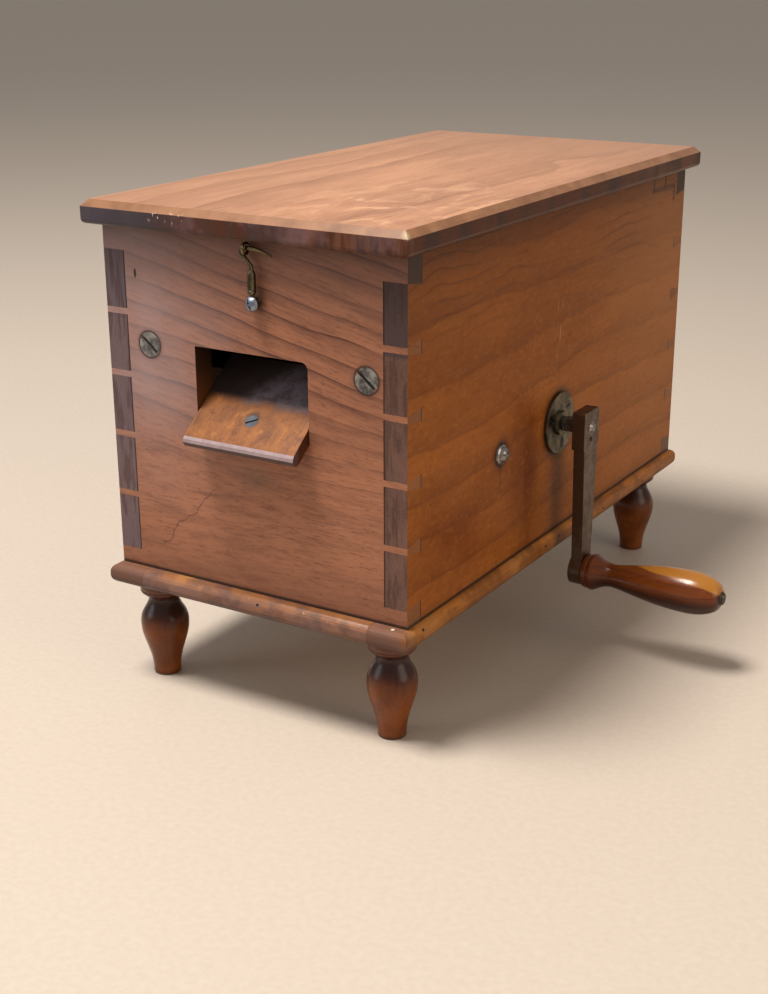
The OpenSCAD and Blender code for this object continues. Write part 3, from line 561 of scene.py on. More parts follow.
def side_marks(shader, end_on):
    """Grey tail ends, reddish wear and old dark outlines on the right, and a browner left."""
    x, y, z = shader.split(shader.place)
    face = shader.minus(1.0, end_on)
    # The top tail's end is greyer and darker than the lower ones
    upper = shader.times(shader.fade(z, CASE_TOP - 0.052, CASE_TOP - 0.050), end_on, 0.75)
    shader.paint((0.052, 0.038, 0.042), upper)
    left_ends = shader.times(shader.fade(x, CASE_MID.x, CASE_MID.x - 0.010), end_on, 0.55)
    shader.paint((0.150, 0.115, 0.135), left_ends)
    # Rings run up the tails' ends, and a dark line shows where they stop
    upright = shader.drawn(1, 1, 0.14)
    rings = shader.noise(upright, 330, detail=3, roughness=0.6)
    shader.paint(scaled(TAIL_END, 0.45), shader.fade(rings, 0.46, 0.62), end_on, 0.55)
    for inner, sign in ((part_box("right_board")[0][0], 1), (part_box("left_board")[1][0], -1)):
        depth = shader.times(shader.minus(x, inner), sign)
        shader.paint(GRIME_AND_SHADE, shader.band(depth, -0.0002, 0.0005, HAIRLINE), end_on, 0.85)
    # The left board is browner than the right one
    shader.paint((0.155, 0.061, 0.028), shader.fade(x, CASE_MID.x, CASE_MID.x - 0.010), face, 0.72)
    # Reddish wear below and in front of the flange
    cloud = shader.patches(30, 0.30, 0.70, 0.45, 1.0, detail=4, roughness=0.6)
    for stain_y, stain_z, radii, edge, amount, tone in (
            (DRUM_AXIS.y - 0.046, DRUM_AXIS.z - 0.012, (0.03, 0.030, 0.066), 0.9, 0.75,
             (0.095, 0.018, 0.002)),
            (DRUM_AXIS.y - 0.036, DRUM_AXIS.z - 0.030, (0.03, 0.014, 0.070), 0.9, 0.7,
             (0.075, 0.014, 0.002)),
            (FRONT_Y + 0.050, CASE_FOOT + 0.036, (0.03, 0.085, 0.050), 0.95, 0.75,
             (0.115, 0.022, 0.002))):
        stain = shader.spot(Vector((RIGHT_X, stain_y, stain_z)), radii, edge)
        shader.paint(tone, stain, cloud, face, amount)
    stretch = shader.drawn(1, 0.6, 1)
    speck = shader.noise(stretch, 380, detail=4, roughness=0.7)
    shader.paint((0.42, 0.150, 0.030), shader.fade(speck, 0.52, 0.70), face, 0.30)
    shader.paint((0.095, 0.022, 0.004), shader.fade(speck, 0.46, 0.32), face, 0.30)
    # Cooler and paler towards the back, painted shade under the lid, and dark grain lines there
    back = shader.fade(y, CASE_MID.y - 0.02, BACK_Y)
    high = shader.fade(z, CASE_FOOT, CASE_TOP, 0.3, 1.0)
    shader.paint((0.33, 0.150, 0.064), back, high, face, 0.66)
    # Painted shade under the lid
    top = shader.fade(z, CASE_TOP - 0.085, CASE_TOP - 0.010)
    shader.paint((0.105, 0.042, 0.022), top, face, 0.38)
    sag = shader.times(shader.noise(shader.place, 6, detail=3), 0.06)
    level = shader.math("DIVIDE", shader.plus(z, sag), 0.0075)
    fold = shader.math("POWER", shader.math("FRACT", level), 7.0)
    broken = shader.noise(shader.drawn(1, 0.3, 1), 55, detail=3)
    shader.paint(DARK_LINE, fold, shader.fade(broken, 0.42, 0.60), top, face, 0.65)
    lid_and_base_shade(shader, z)
    # Dirt round the flange and the small screw, and a drip below the screw
    flange_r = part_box("right_bearing_plate")[1][2] - DRUM_AXIS.z + 0.0006
    screw_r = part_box("cup_washers")[1][2] - LICKER_AXIS.z + 0.0004
    for centre, radius, width, amount in (
            (DRUM_AXIS, flange_r, 0.0012, 0.8), (DRUM_AXIS, flange_r, 0.006, 0.4),
            (LICKER_AXIS, screw_r, 0.0015, 0.9), (LICKER_AXIS, screw_r, 0.006, 0.5)):
        shader.paint(GRIME_AND_SHADE, shader.ring(centre, 0, radius, width), amount)
    thread = shader.band(y, LICKER_AXIS.y - 0.0004, LICKER_AXIS.y + 0.0002, 0.0012)
    shader.paint(GRIME_AND_SHADE, thread, shader.band(z, LICKER_AXIS.z - 0.014, LICKER_AXIS.z, 0.012), 0.45)
    # Old dark outlines and a slit under the lid near the back corner
    tremble = shader.times(shader.noise(shader.place, 260, detail=2), 0.0016)
    across = shader.plus(y, tremble)
    down = shader.plus(z, tremble)
    for from_back, top_at, foot_at in ((0.053, 0.0, 0.0085), (0.034, 0.0, 0.0075),
                                       (0.0185, 0.010, 0.018)):
        line_y = BACK_Y - from_back
        line = shader.band(across, line_y, line_y + 0.0012, 0.0012)
        length = shader.band(z, CASE_TOP - foot_at, CASE_TOP - top_at, 0.003)
        shader.paint((0.040, 0.018, 0.012), line, length, face, 0.75)
    line = shader.band(down, CASE_TOP - 0.0090, CASE_TOP - 0.0075, 0.0016)
    length = shader.band(y, BACK_Y - 0.054, BACK_Y - 0.020, 0.004)
    shader.paint((0.050, 0.026, 0.022), line, length, face, 0.6)
    # Fine pale scratches above the flange
    scratch_at = Vector((RIGHT_X, DRUM_AXIS.y + 0.004, DRUM_AXIS.z + 0.055))
    thin = shader.drawn(1, 1, 0.06)
    hair = shader.fade(shader.noise(thin, 900, detail=1), 0.66, 0.74)
    shader.paint((0.62, 0.40, 0.24), hair, shader.spot(scratch_at, (0.02, 0.022, 0.028), 0.7), 0.45)


def pin_marks(shader, end_on):
    """Dark ends on the top pins and on the lowest back ones, and the front's own marks."""
    _, y, z = shader.split(shader.place)
    top_pin = shader.fade(z, CASE_TOP - 0.0165, CASE_TOP - 0.0160)
    shader.paint((0.030, 0.017, 0.010), top_pin, end_on, 0.92)
    low_pin = shader.fade(z, CASE_FOOT + 0.0190, CASE_FOOT + 0.0185)
    rear = shader.fade(y, CASE_MID.y, CASE_MID.y + 0.01)
    shader.paint((0.085, 0.036, 0.018), low_pin, rear, end_on, 0.7)
    for inner, sign in ((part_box("front_board")[1][1], -1), (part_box("back_board")[0][1], 1)):
        depth = shader.times(shader.minus(y, inner), sign)
        shader.paint(GRIME_AND_SHADE, shader.band(depth, -0.0002, 0.0006, HAIRLINE), end_on, 0.9)
    front_marks(shader, end_on)


def lid_marks(shader, end_on):
    """Dark stained edges with upright streaks, a golden chamfer, and a plain underside."""
    x, y, _ = shader.split(shader.place)
    up = shader.split(shader.facing)[2]
    edge = shader.times(shader.fade(up, 0.55, 0.25), shader.fade(up, -0.985, -0.93))
    upright = shader.drawn(1, 1, 0.12)
    tall = shader.noise(upright, 190, detail=4, roughness=0.6)
    wide = shader.noise(upright, 42, detail=2)
    dark_edge = shader.ramp(tall, [(0.25, (0.055, 0.013, 0.003)), (0.75, (0.080, 0.020, 0.005))])
    rearward = shader.fade(y, CASE_MID.y - 0.02, BACK_Y, 0.0, 0.75)
    dark_edge = shader.blend(dark_edge, (0.110, 0.045, 0.024), rearward)
    dark_edge = shader.blend(dark_edge, (0.030, 0.013, 0.010),
                             shader.fade(wide, 0.40, 0.62, 0.0, 0.8))
    front_face = shader.fade(y, LID_LOW.y + 0.006, LID_LOW.y + 0.003)
    blotchy = shader.patches(34, 0.42, 0.60, detail=4, roughness=0.6)
    dark_edge = shader.blend(dark_edge, (0.175, 0.088, 0.088), front_face, blotchy, 0.8)
    cool = shader.blend(dark_edge, (0.046, 0.027, 0.029), front_face, shader.fade(wide, 0.42, 0.62),
                        0.5)
    blue = shader.fade(x, LID_LOW.x, LID_LOW.x + 0.11, 0.85, 0.0)
    cool = shader.blend(cool, (0.040, 0.036, 0.048), blue, front_face)
    warm = shader.times(shader.fade(x, LID_HIGH.x - 0.10, LID_HIGH.x - 0.02), front_face,
                        shader.fade(tall, 0.4, 0.6), 0.6)
    cool = shader.blend(cool, (0.150, 0.058, 0.036), warm)
    # The top: duller along the left and the back, brighter and more figured near the right front
    dull = shader.math("MAXIMUM", shader.fade(x, LID_LOW.x, LID_LOW.x + 0.09, 0.6, 0.0),
                       shader.fade(y, CASE_MID.y, LID_HIGH.y))
    shader.paint((0.26, 0.125, 0.066), dull, 0.7)
    wave = shader.drawn(1, 0.55, 1)
    flame = shader.noise(wave, 46, detail=4, roughness=0.55, distortion=1.2)
    flame_at = Vector((LID_HIGH.x - 0.03, LID_LOW.y + 0.06, LID_HIGH.z))
    near = shader.spot(flame_at, (0.11, 0.15, 0.03), 0.9)
    shader.paint((0.62, 0.34, 0.19), shader.fade(flame, 0.50, 0.66), near, 0.55)
    shader.paint((0.25, 0.095, 0.045), shader.fade(flame, 0.46, 0.34), near, 0.40)
    shader.paint((0.150, 0.068, 0.034), shader.fade(up, -0.15, -0.45, 0.0, 0.75))
    shader.paint(cool, edge)
    slope = shader.band(up, 0.55, 0.85, 0.08)
    gold = shader.ramp(shader.noise(shader.place, 70, detail=3),
                       [(0.35, (0.15, 0.066, 0.030)), (0.65, (0.235, 0.110, 0.052))])
    shader.paint(gold, slope, 0.85)
    corner = Vector((LID_HIGH.x, LID_LOW.y, LID_HIGH.z))
    shader.paint((0.70, 0.56, 0.34), shader.spot(corner, (0.0065, 0.0065, 0.005), 0.8), 0.7)
    # Pale rubs on the edge near the left front corner
    rub_at = Vector((LID_LOW.x + 0.056, LID_LOW.y, LID_HIGH.z - 0.005))
    slant = shader.drawn(1, 1, 0.35)
    nick = shader.fade(shader.noise(slant, 700, detail=2), 0.60, 0.68)
    shader.paint((0.55, 0.45, 0.36), nick, shader.spot(rub_at, (0.020, 0.003, 0.005), 0.6), 0.8)


def moulding_marks(holes, soiled, upright, front_end=None):
    """Marks for a strip of the base moulding.

    holes are worm holes, soiled and upright are the tones of its dirt and of its upright part, and
    front_end is the tone of the piece of a side strip that shows at the front.
    """
    def marks(shader, end_on):
        x, y, z = shader.split(shader.place)
        tilt = shader.split(shader.facing)[2]
        streaky = shader.noise(shader.drawn(0.4, 0.4, 1), 130, detail=4)
        streaky = shader.fade(streaky, 0.34, 0.60, 0.35, 1.0)
        shader.paint(upright, shader.fade(tilt, 0.60, 0.20), streaky, 0.75)
        if front_end:
            shader.paint(front_end, shader.fade(y, FRONT_Y + 0.004, FRONT_Y - 0.002, 0.0, 0.9))
        shader.paint((0.38, 0.170, 0.050), shader.patches(33, 0.54, 0.66, 0.0, 0.45, detail=3))
        shader.paint(soiled, shader.patches(48, 0.46, 0.62, 0.0, 0.7, detail=5, roughness=0.6))
        if not front_end:
            shader.paint((0.085, 0.056, 0.058), shader.fade(x, LEFT_X, LEFT_X + 0.045, 0.75, 0.0))
        chipped = shader.patches(420, 0.66, 0.72, detail=3, roughness=0.7)
        shader.paint((0.55, 0.40, 0.26), chipped, shader.rounded_edge(), 0.6)
        # Darker along the bottom of the strip
        shader.paint(GRIME_AND_SHADE, shader.fade(z, MOULDING_LOW, MOULDING_LOW + 0.006, 1, 0), 0.55)
        for hole in holes:
            bored = shader.spot(hole, (0.0013, 0.0013, 0.0010), 0.25)
            shader.paint((0.008, 0.005, 0.004), bored, 0.97)
        # A painted patch of light in the gap at the right front corner
        gap_light_at = Vector((RIGHT_X - 0.007, FRONT_Y - 0.003, MOULDING_HIGH))
        shader.paint((0.62, 0.55, 0.44), shader.spot(gap_light_at, (0.0012, 0.0012, 0.003), 0.4), 0.9)
    return marks


def tongue_marks(shader, end_on):
    """A worn, mottled face with a painted highlight on its lip and painted shade under it, and a
    painted shadow with a patch of painted light across its inner part.
    """
    x, y, _ = shader.split(shader.place)
    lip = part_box("feed_tongue")[0][1]
    cloud = shader.noise(shader.place, 150, detail=5, roughness=0.75)
    shader.paint((0.095, 0.026, 0.007), shader.fade(cloud, 0.50, 0.66, 0.0, 0.75))
    shader.paint((0.34, 0.125, 0.022), shader.fade(cloud, 0.46, 0.34, 0.0, 0.55))
    screw_low, screw_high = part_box("tongue_screw")
    head = Vector((CASE_MID.x, screw_low[1] + 0.004, screw_high[2] - 0.002))
    shader.paint(GRIME_AND_SHADE, shader.spot(head, (0.0055, 0.0065, 0.0065), 0.5), 0.7)
    # Painted shadow over the inner part of the tongue, with a slanting patch of painted light from
    # the left
    uneven = shader.times(shader.noise(shader.place, 70, detail=3), 0.006)
    inside = shader.fade(shader.plus(y, uneven), FRONT_Y + 0.0085, FRONT_Y + 0.0150, 0.0, 0.94)
    mottled = shader.fade(cloud, 0.36, 0.64, 0.40, 1.0)
    slant = 0.9
    slanted = shader.minus(x, shader.times(y, slant))
    lit_from = CASE_MID.x - 0.016 - slant * FRONT_Y
    lit = shader.times(shader.fade(y, FRONT_Y + 0.045, FRONT_Y + 0.012), mottled,
                       shader.fade(slanted, lit_from - 0.010, lit_from + 0.004, 0.12, 1.0))
    inner_shadow_and_light = shader.blend((0.014, 0.012, 0.011), (0.165, 0.140, 0.165), lit)
    shader.paint(inner_shadow_and_light, inside)
    sideways, _, up = shader.split(shader.facing)
    # A painted highlight along the lip's round, and painted shade under the lip
    lip_highlight = shader.blend((0.150, 0.095, 0.095), (0.45, 0.36, 0.37), cloud)
    near_lip, rounded = shader.fade(y, lip + 0.0058, lip + 0.0046), shader.fade(up, 0.74, 0.68)
    shader.paint(lip_highlight, near_lip, rounded, 0.9)
    near_lip, under = shader.fade(y, lip + 0.0080, lip + 0.0070), shader.fade(up, -0.15, -0.40)
    shader.paint((0.050, 0.024, 0.020), near_lip, under, 0.9)
    flank = shader.fade(shader.math("ABSOLUTE", sideways), 0.5, 0.9, 0.0, 0.85)
    shader.paint((0.050, 0.014, 0.007), flank)


# Unfinished wood inside the case
BARE = {"ring_gap": 0.006, "light": (0.46, 0.30, 0.17), "dark": (0.30, 0.17, 0.085),
        "end": (0.26, 0.15, 0.08), "roughness": 0.6, "coat": 0.0}


def dress_wood():
    mid_z = (CASE_TOP + CASE_FOOT) / 2
    pith = (CASE_MID.x, FRONT_Y - 0.050, CASE_FOOT + 0.020)
    front = wood("front_wood", grain=(1, 0.10, -0.25), pith=pith, ring_gap=0.0105,
                 light=FRONT_LIGHT, dark=FRONT_DARK, end=(0.20, 0.068, 0.016), contrast=0.9,
                 shading=0.38, wobble=0.016, specular=0.2, marks=pin_marks, lines=front_lines,
                 fan=front_fan)
    dress(front, "front_board", "back_board")
    side = wood("side_wood", grain=(0, 1, 0.02), pith=(RIGHT_X + 0.09, 0, mid_z + 0.20),
                ring_gap=0.024, light=(0.270, 0.082, 0.011), dark=(0.135, 0.035, 0.005),
                end=TAIL_END, contrast=0.25, shading=0.45, figure=0.7, fine=0.22, wobble=0.03,
                coat=0.01, specular=0.09, marks=side_marks)
    dress(side, "left_board", "right_board")
    lid = wood("lid_wood", grain=(0, 1, 0), pith=(CASE_MID.x + 0.02, 0, CASE_TOP - 0.16),
               ring_gap=0.012, light=(0.385, 0.184, 0.098), dark=(0.205, 0.085, 0.043),
               end=(0.09, 0.04, 0.035), contrast=0.35, shading=0.5, figure=0.55, fine=0.9,
               roughness=0.36, wobble=0.02, specular=0.2, marks=lid_marks, worn=0)
    dress(lid, "lid_board")
    side_holes = [Vector((MOULDING_RIGHT, CASE_MID.y + y, MOULDING_MID + z))
                  for y, z in ((-0.024, 0.0015), (-0.006, 0.002), (0.0595, 0), (0.124, -0.0006),
                               (-0.1696, 0.003))]
    marks = moulding_marks(side_holes, soiled=(0.170, 0.060, 0.014), upright=(0.200, 0.070, 0.018),
                           front_end=(0.125, 0.062, 0.046))
    moulding_side = wood("side_moulding_wood", grain=(0, 1, 0), pith=(0, 0, 0.02), ring_gap=0.006,
                         light=(0.44, 0.160, 0.026), dark=(0.150, 0.046, 0.010),
                         end=(0.095, 0.046, 0.038), specular=0.12, marks=marks, worn=0)
    dress(moulding_side, "left_moulding", "right_moulding")
    front_holes = [Vector((CASE_MID.x + x, MOULDING_FRONT, MOULDING_MID + z))
                   for x, z in ((-0.0798, 0.004), (0.0049, 0.003))]
    marks = moulding_marks(front_holes, soiled=(0.080, 0.038, 0.030), upright=(0.165, 0.090, 0.080))
    moulding_end = wood("end_moulding_wood", grain=(1, 0, 0), pith=(0, FRONT_Y + 0.02, 0.03),
                        ring_gap=0.006, light=(0.27, 0.105, 0.036), dark=(0.085, 0.030, 0.013),
                        end=TAIL_END, marks=marks, worn=0)
    dress(moulding_end, "front_moulding", "back_moulding")
    tongue = wood("tongue_wood", grain=(0, 0.78, 0.62), pith=(CASE_MID.x, 0, 0.1), ring_gap=0.007,
                  light=(0.195, 0.064, 0.011), dark=(0.080, 0.023, 0.005), end=(0.12, 0.055, 0.035),
                  contrast=0.4, figure=0.6, specular=0.2, marks=tongue_marks)
    dress(tongue, "feed_tongue")
    bare = wood("bare_wood", grain=(1, 0, 0), pith=(0, 0.02, 0.05), **BARE)
    dress(bare, "bottom_board", "chute_bar", "flat_bar", "drum_barrel", "left_drum_head",
          "right_drum_head", "licker_roller")
    chute = wood("chute_wood", grain=(0, 0.8, -0.6), pith=(CASE_MID.x, 0, 0.1), ring_gap=0.007,
                 light=(0.20, 0.125, 0.085), dark=(0.10, 0.055, 0.035), end=(0.12, 0.07, 0.045),
                 roughness=0.5, coat=0.1)
    dress(chute, "inner_chute")
    rail = wood("rail_wood", grain=(0, 1, 0), pith=(0, 0, 0.05), **BARE)
    dress(rail, "left_rail", "right_rail")


def dress_metal():
    steel = metal("steel", (0.40, 0.41, 0.42), (0.13, 0.13, 0.125), grime=0.8)
    dress(steel, "flat_screws", "licker_axle", "case_hinge_screws", "hinge_pins", "latch_washer",
          "lid_hinge_screws")
    grey = metal("grey_steel", (0.40, 0.395, 0.38), (0.085, 0.082, 0.078), roughness=0.42,
                 grime=0.75, pitted=0.00014)
    dress(grey, "rail_screws")
    zinc = metal("dull_zinc", (0.055, 0.062, 0.080), (0.018, 0.020, 0.027), roughness=0.58,
                 metallic=0.2)
    dress(zinc, "tongue_screw")
    bright = metal("bright_steel", (0.27, 0.30, 0.37), (0.085, 0.092, 0.115), roughness=0.38)
    dress(bright, "latch_screw")
    dull = metal("dark_steel", (0.30, 0.28, 0.27), (0.06, 0.05, 0.045), roughness=0.28, grime=0.7)
    dress(dull, "axle_screws", "cup_washers", "drum_shaft")
    black = metal("black_steel", (0.085, 0.064, 0.050), (0.032, 0.025, 0.020), roughness=0.40,
                  grime=0.7)
    dress(black, "grip_spindle", "grip_washer", "plate_screws", "arm_pin")
    brass = metal("brass", (0.36, 0.29, 0.14), (0.11, 0.090, 0.046), crust=(0.045, 0.05, 0.028))
    dress(brass, "case_hinge_leaves", "lid_hinge_leaves", "drum_pinion", "shaft_collars",
          "licker_gear")
    bronze = metal("bronze", (0.17, 0.135, 0.070), (0.036, 0.031, 0.021), roughness=0.28,
                   grime=0.85, crust=(0.026, 0.032, 0.026))
    dress(bronze, "latch_eye", "latch_hook")
    flange = metal("flange_bronze", (0.185, 0.150, 0.082), (0.090, 0.074, 0.044), roughness=0.36,
                   grime=0.6, crust=(0.050, 0.052, 0.034))
    dress(flange, "left_bearing_plate", "right_bearing_plate")
    iron = metal("iron", (0.105, 0.058, 0.033), (0.068, 0.039, 0.023), roughness=0.33, grime=0.7,
                 metallic=0.65, pitted=0.00002)
    dress(iron, "crank_arm")
    leather = metal("card_leather", (0.19, 0.11, 0.06), (0.10, 0.06, 0.035), roughness=0.75,
                    metallic=0.0)
    dress(leather, "flat_card_cloth", "drum_card_cloth", "licker_card_cloth")
    return bronze


# ---- pieces that stand for plain CAD solids ----

def new_piece(name, form, material, body, replaced=(), smooth=True):
    """Makes an object of a bmesh, gives it its material and body, and hides what it replaces."""
    bmesh.ops.recalc_face_normals(form, faces=form.faces)
    mesh = bpy.data.meshes.new(name)
    form.to_mesh(mesh)
    form.free()
    if smooth:
        mesh.shade_smooth()
    mesh.materials.append(material)
    piece = bpy.data.objects.new(name, mesh)
    bpy.context.scene.collection.objects.link(piece)
    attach(piece, body)
    if replaced:
        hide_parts(*replaced)
    return piece


def crease(piece, angle=40):
    """Smooth shading that keeps the sharp edges sharp."""
    piece.data.set_sharp_from_angle(angle=math.radians(angle))


def ease(a, b, part, bend):
    """From a to b along half a cosine wave; a bend above 1 makes it turn late."""
    return a + (b - a) * (1 - math.cos(math.pi * part ** bend)) / 2


def turned_outline(stations, steps):
    """Points of height and radius through stations of height, radius and bend.

    A bend of 0 ends the outline as a quarter of an ellipse.
    """
    points = [(stations[0][0], stations[0][1])]
    for (h0, r0, _), (h1, r1, bend) in zip(stations, stations[1:]):
        for step in range(1, steps + 1):
            part = step / steps
            if bend:
                points.append((h0 + (h1 - h0) * part, ease(r0, r1, part, bend)))
            else:
                turn = math.radians(90 * part)
                points.append((h0 + (h1 - h0) * math.sin(turn), r1 + (r0 - r1) * math.cos(turn)))
    return points


def grooved(points, groove_at, width, depth):
    """Cuts a fine V groove into a turned outline."""
    return [(height, radius - depth * max(0.0, 1 - abs(height - groove_at) / width))
            for height, radius in points]


def join_rings(form, rings):
    """Faces between one ring of points and the next, and over both ends."""
    for lower, upper in zip(rings, rings[1:]):
        for k in range(len(lower)):
            nxt = (k + 1) % len(lower)
            form.faces.new((lower[k], lower[nxt], upper[nxt], upper[k]))
    form.faces.new(rings[0])
    form.faces.new(rings[-1])


def lathe(form, points, sides, place):
    """Turns an outline of height and radius round an axis; place(u, v, h) puts it in the frame."""
    turns = [2 * math.pi * k / sides for k in range(sides)]
    rings = [[form.verts.new(place(radius * math.cos(turn), radius * math.sin(turn), height))
              for turn in turns] for height, radius in points]
    join_rings(form, rings)


# Turned outlines in millimetres: height, radius, and how late the curve to that radius turns
FOOT_LINE = [(0.7, 7.9, 1), (32, 14, 1.15), (47.5, 8.8, 1.3), (53, 13.3, 1), (58.5, 13.4, 1)]
GRIP_LINE = [(0.6, 10.2, 1), (6, 11.1, 1), (18, 7, 0.66), (65.8, 12.75, 0.70), (85.5, 4.2, 0)]
# The outlines' first points, and their V grooves: height, width and depth
FOOT_START, GRIP_START = (0, 7.2), (0, 9.4)
FOOT_GROOVE, GRIP_GROOVE = (53.6, 0.7, 0.5), (3.6, 1.0, 0.9)
# Points between two stations of an outline, and points round it
FOOT_STEPS, GRIP_STEPS = 14, 24
FOOT_SIDES, GRIP_SIDES = 72, 96


def foot_material():
    def marks(shader, end_on):
        z = shader.split(shader.place)[2]
        # Painted shade on the upper bulb, under the base
        dark = shader.times(shader.fade(z, 0.030, 0.044), shader.fade(z, 0.0520, 0.0508), 0.85)
        shader.paint((0.022, 0.009, 0.009), dark)
        shader.paint((0.125, 0.050, 0.030), shader.fade(z, 0.0520, 0.0535, 0.0, 0.7))
        # Painted bounce light from the floor, orange-brown on the lower part
        patch = shader.patches(55, 0.40, 0.62, 0.25, 0.75, detail=3)
        shader.paint((0.220, 0.056, 0.006), patch, shader.fade(z, 0.040, 0.024))
        # Darker at the very foot
        shader.paint(GRIME_AND_SHADE, shader.fade(z, 0.0, 0.004, 0.6, 0.0))
    return wood("foot_wood", grain=(0, 0, 1), pith=(0, 0, 0), ring_gap=0.005,
                light=(0.105, 0.024, 0.005), dark=(0.028, 0.007, 0.003), end=(0.03, 0.012, 0.01),
                roughness=0.27, coat=0.30, contrast=0.4, specular=0.12, marks=marks, worn=0)


def grip_material():
    def marks(shader, end_on):
        # A painted amber reflection along the upper back, painted shade below, and redder round the
        # neck
        from_axis = shader.vector("SUBTRACT", shader.place, tuple(GRIP_AXIS))
        wave = shader.times(shader.noise(shader.place, 30, detail=2), 0.006)
        up_back = shader.plus(shader.vector("DOT_PRODUCT", from_axis, (0.14, 0.40, 0.92)), wave)
        amber_reflection = shader.fade(up_back, 0.0118, 0.0130, 0.0, 0.95)
        length = shader.fade(shader.split(from_axis)[0], -0.018, 0.006)
        shader.paint((0.315, 0.124, 0.018), amber_reflection, length)
        # Painted shade below the axis
        level = shader.plus(shader.split(from_axis)[2], wave)
        shader.paint((0.021, 0.0045, 0.002), shader.fade(level, 0.006, -0.003, 0.0, 0.85))
        neck = shader.fade(shader.split(from_axis)[0], -0.020, -0.034, 0.0, 0.6)
        shader.paint((0.150, 0.032, 0.005), neck)
    return wood("handle_wood", grain=(1, 0, 0), pith=(0, -0.01, 0.03), ring_gap=0.005,
                light=(0.150, 0.036, 0.006), dark=(0.042, 0.009, 0.003), end=(0.04, 0.012, 0.008),
                roughness=0.17, coat=0.42, contrast=0.5, specular=0.12, marks=marks, worn=0)


def make_feet():
    material = foot_material()
    for name in ("front_left_foot", "front_right_foot", "back_left_foot", "back_right_foot"):
        middle = centre_of(name)
        points = grooved([FOOT_START] + turned_outline(FOOT_LINE, FOOT_STEPS), *FOOT_GROOVE)
        form = bmesh.new()
        lathe(form, points, FOOT_SIDES,
              lambda u, v, h, m=middle: (m.x + u * MM, m.y + v * MM, h * MM))
        piece = new_piece("turned_" + name, form, material, "case", (name,))
        crease(piece)


def make_grip():
    x0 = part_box("grip")[0][0]
    points = grooved([GRIP_START] + turned_outline(GRIP_LINE, GRIP_STEPS), *GRIP_GROOVE)
    form = bmesh.new()
    lathe(form, points, GRIP_SIDES,
          lambda u, v, h: (x0 + h * MM, GRIP_AXIS.y + u * MM, GRIP_AXIS.z + v * MM))
    piece = new_piece("turned_grip", form, grip_material(), "handle", ("grip",))
    crease(piece)


def sweep(form, points, radii, sides):
    """A tube along points, with a radius at each of them."""
    turns = [2 * math.pi * k / sides for k in range(sides)]
    rings = []
    normal = None
    for k, point in enumerate(points):
        ahead = points[min(k + 1, len(points) - 1)] - points[max(k - 1, 0)]
        ahead.normalize()
        if normal is None:
            normal = ahead.orthogonal().normalized()
        normal = (normal - ahead * normal.dot(ahead)).normalized()
        side = ahead.cross(normal)
        rings.append([form.verts.new(point + radii[k] * (math.cos(turn) * normal
                                                         + math.sin(turn) * side))
                      for turn in turns])
    join_rings(form, rings)


def make_hook(bronze):
    """The latch hook as a round wire with a flat eye round its screw and a thicker shank."""
    wire, tip = 1.2 * MM, 0.45 * MM
    swing_r, bend_r, sweep_r, lean = 28.3 * MM, 2 * MM, 5 * MM, math.radians(45)
    bend_turn, tip_turn = math.radians(-8.5), math.radians(27)
    step_on, taper = 0.03, 2.2

    def at(x, z, y=0.0):
        return Vector((HOOK_PIVOT.x + x, HOOK_PIVOT.y + y, HOOK_PIVOT.z + z))

    def arc(cx, cz, radius, start, end, steps):
        turns = [start + (end - start) * k / steps for k in range(steps + 1)]
        return [at(cx + radius * math.cos(turn), cz + radius * math.sin(turn)) for turn in turns]

    bend_x = (swing_r - bend_r) * math.sin(bend_turn)
    bend_z = (swing_r - bend_r) * math.cos(bend_turn)
    into_x, into_z = bend_x - bend_r * math.cos(lean), bend_z - bend_r * math.sin(lean)
    lean_x = -sweep_r * (1 - math.cos(lean))
    shank_end = into_z - (lean_x - into_x) / math.tan(lean) - sweep_r * math.sin(lean)
    route = [at(0, 3.4 * MM), at(0, 5 * MM)]
    route += arc(-sweep_r, shank_end, sweep_r, 0, lean, 8)
    route += arc(bend_x, bend_z, bend_r, math.pi + lean, math.pi / 2 - bend_turn, 12)
    tail = arc(0, 0, swing_r, math.pi / 2 - bend_turn - step_on, math.pi / 2 - tip_turn, 16)
    route += tail
    radii = [wire] * (len(route) - len(tail))
    radii += [wire + (tip - wire) * (k / (len(tail) - 1)) ** taper for k in range(len(tail))]
    form = bmesh.new()
    sweep(form, route, radii, 20)
    # The thicker shank, drawn in at both ends, with a collar at its foot
    shank = [(4.6, 1.2), (5.4, 2.1), (6.6, 2.4), (7.2, 2.0), (7.8, 2.2), (9.2, 2.3)]
    top = shank_end / MM
    shank += [(top - 2.2, 2.2), (top - 0.9, 1.8), (top, 1.2)]
    sweep(form, [at(0, height * MM) for height, _ in shank], [radius * MM for _, radius in shank],
          16)
    # The flat eye
    sides = 48
    hole, rim, thick, chamfer = 1.7 * MM, 4 * MM, wire, 0.5 * MM
    section = [(hole, -thick), (rim - chamfer, -thick), (rim, -thick + chamfer),
               (rim, thick - chamfer), (rim - chamfer, thick), (hole, thick)]
    loops = []
    for k in range(sides):
        turn = 2 * math.pi * k / sides
        loops.append([form.verts.new(at(radius * math.cos(turn), radius * math.sin(turn), depth))
                      for radius, depth in section])
    for k in range(sides):
        nxt = loops[(k + 1) % sides]
        for m in range(len(section)):
            m2 = (m + 1) % len(section)
            form.faces.new((loops[k][m], loops[k][m2], nxt[m2], nxt[m]))
    piece = new_piece("latch_hook_wire", form, bronze, "hook", ("latch_hook",))
    crease(piece, 35)


# ---- wire teeth of the card clothing ----

TEETH_SEED = 7
TOOTH_R = 0.28 * MM
TOOTH_ROOT = 0.4 * MM
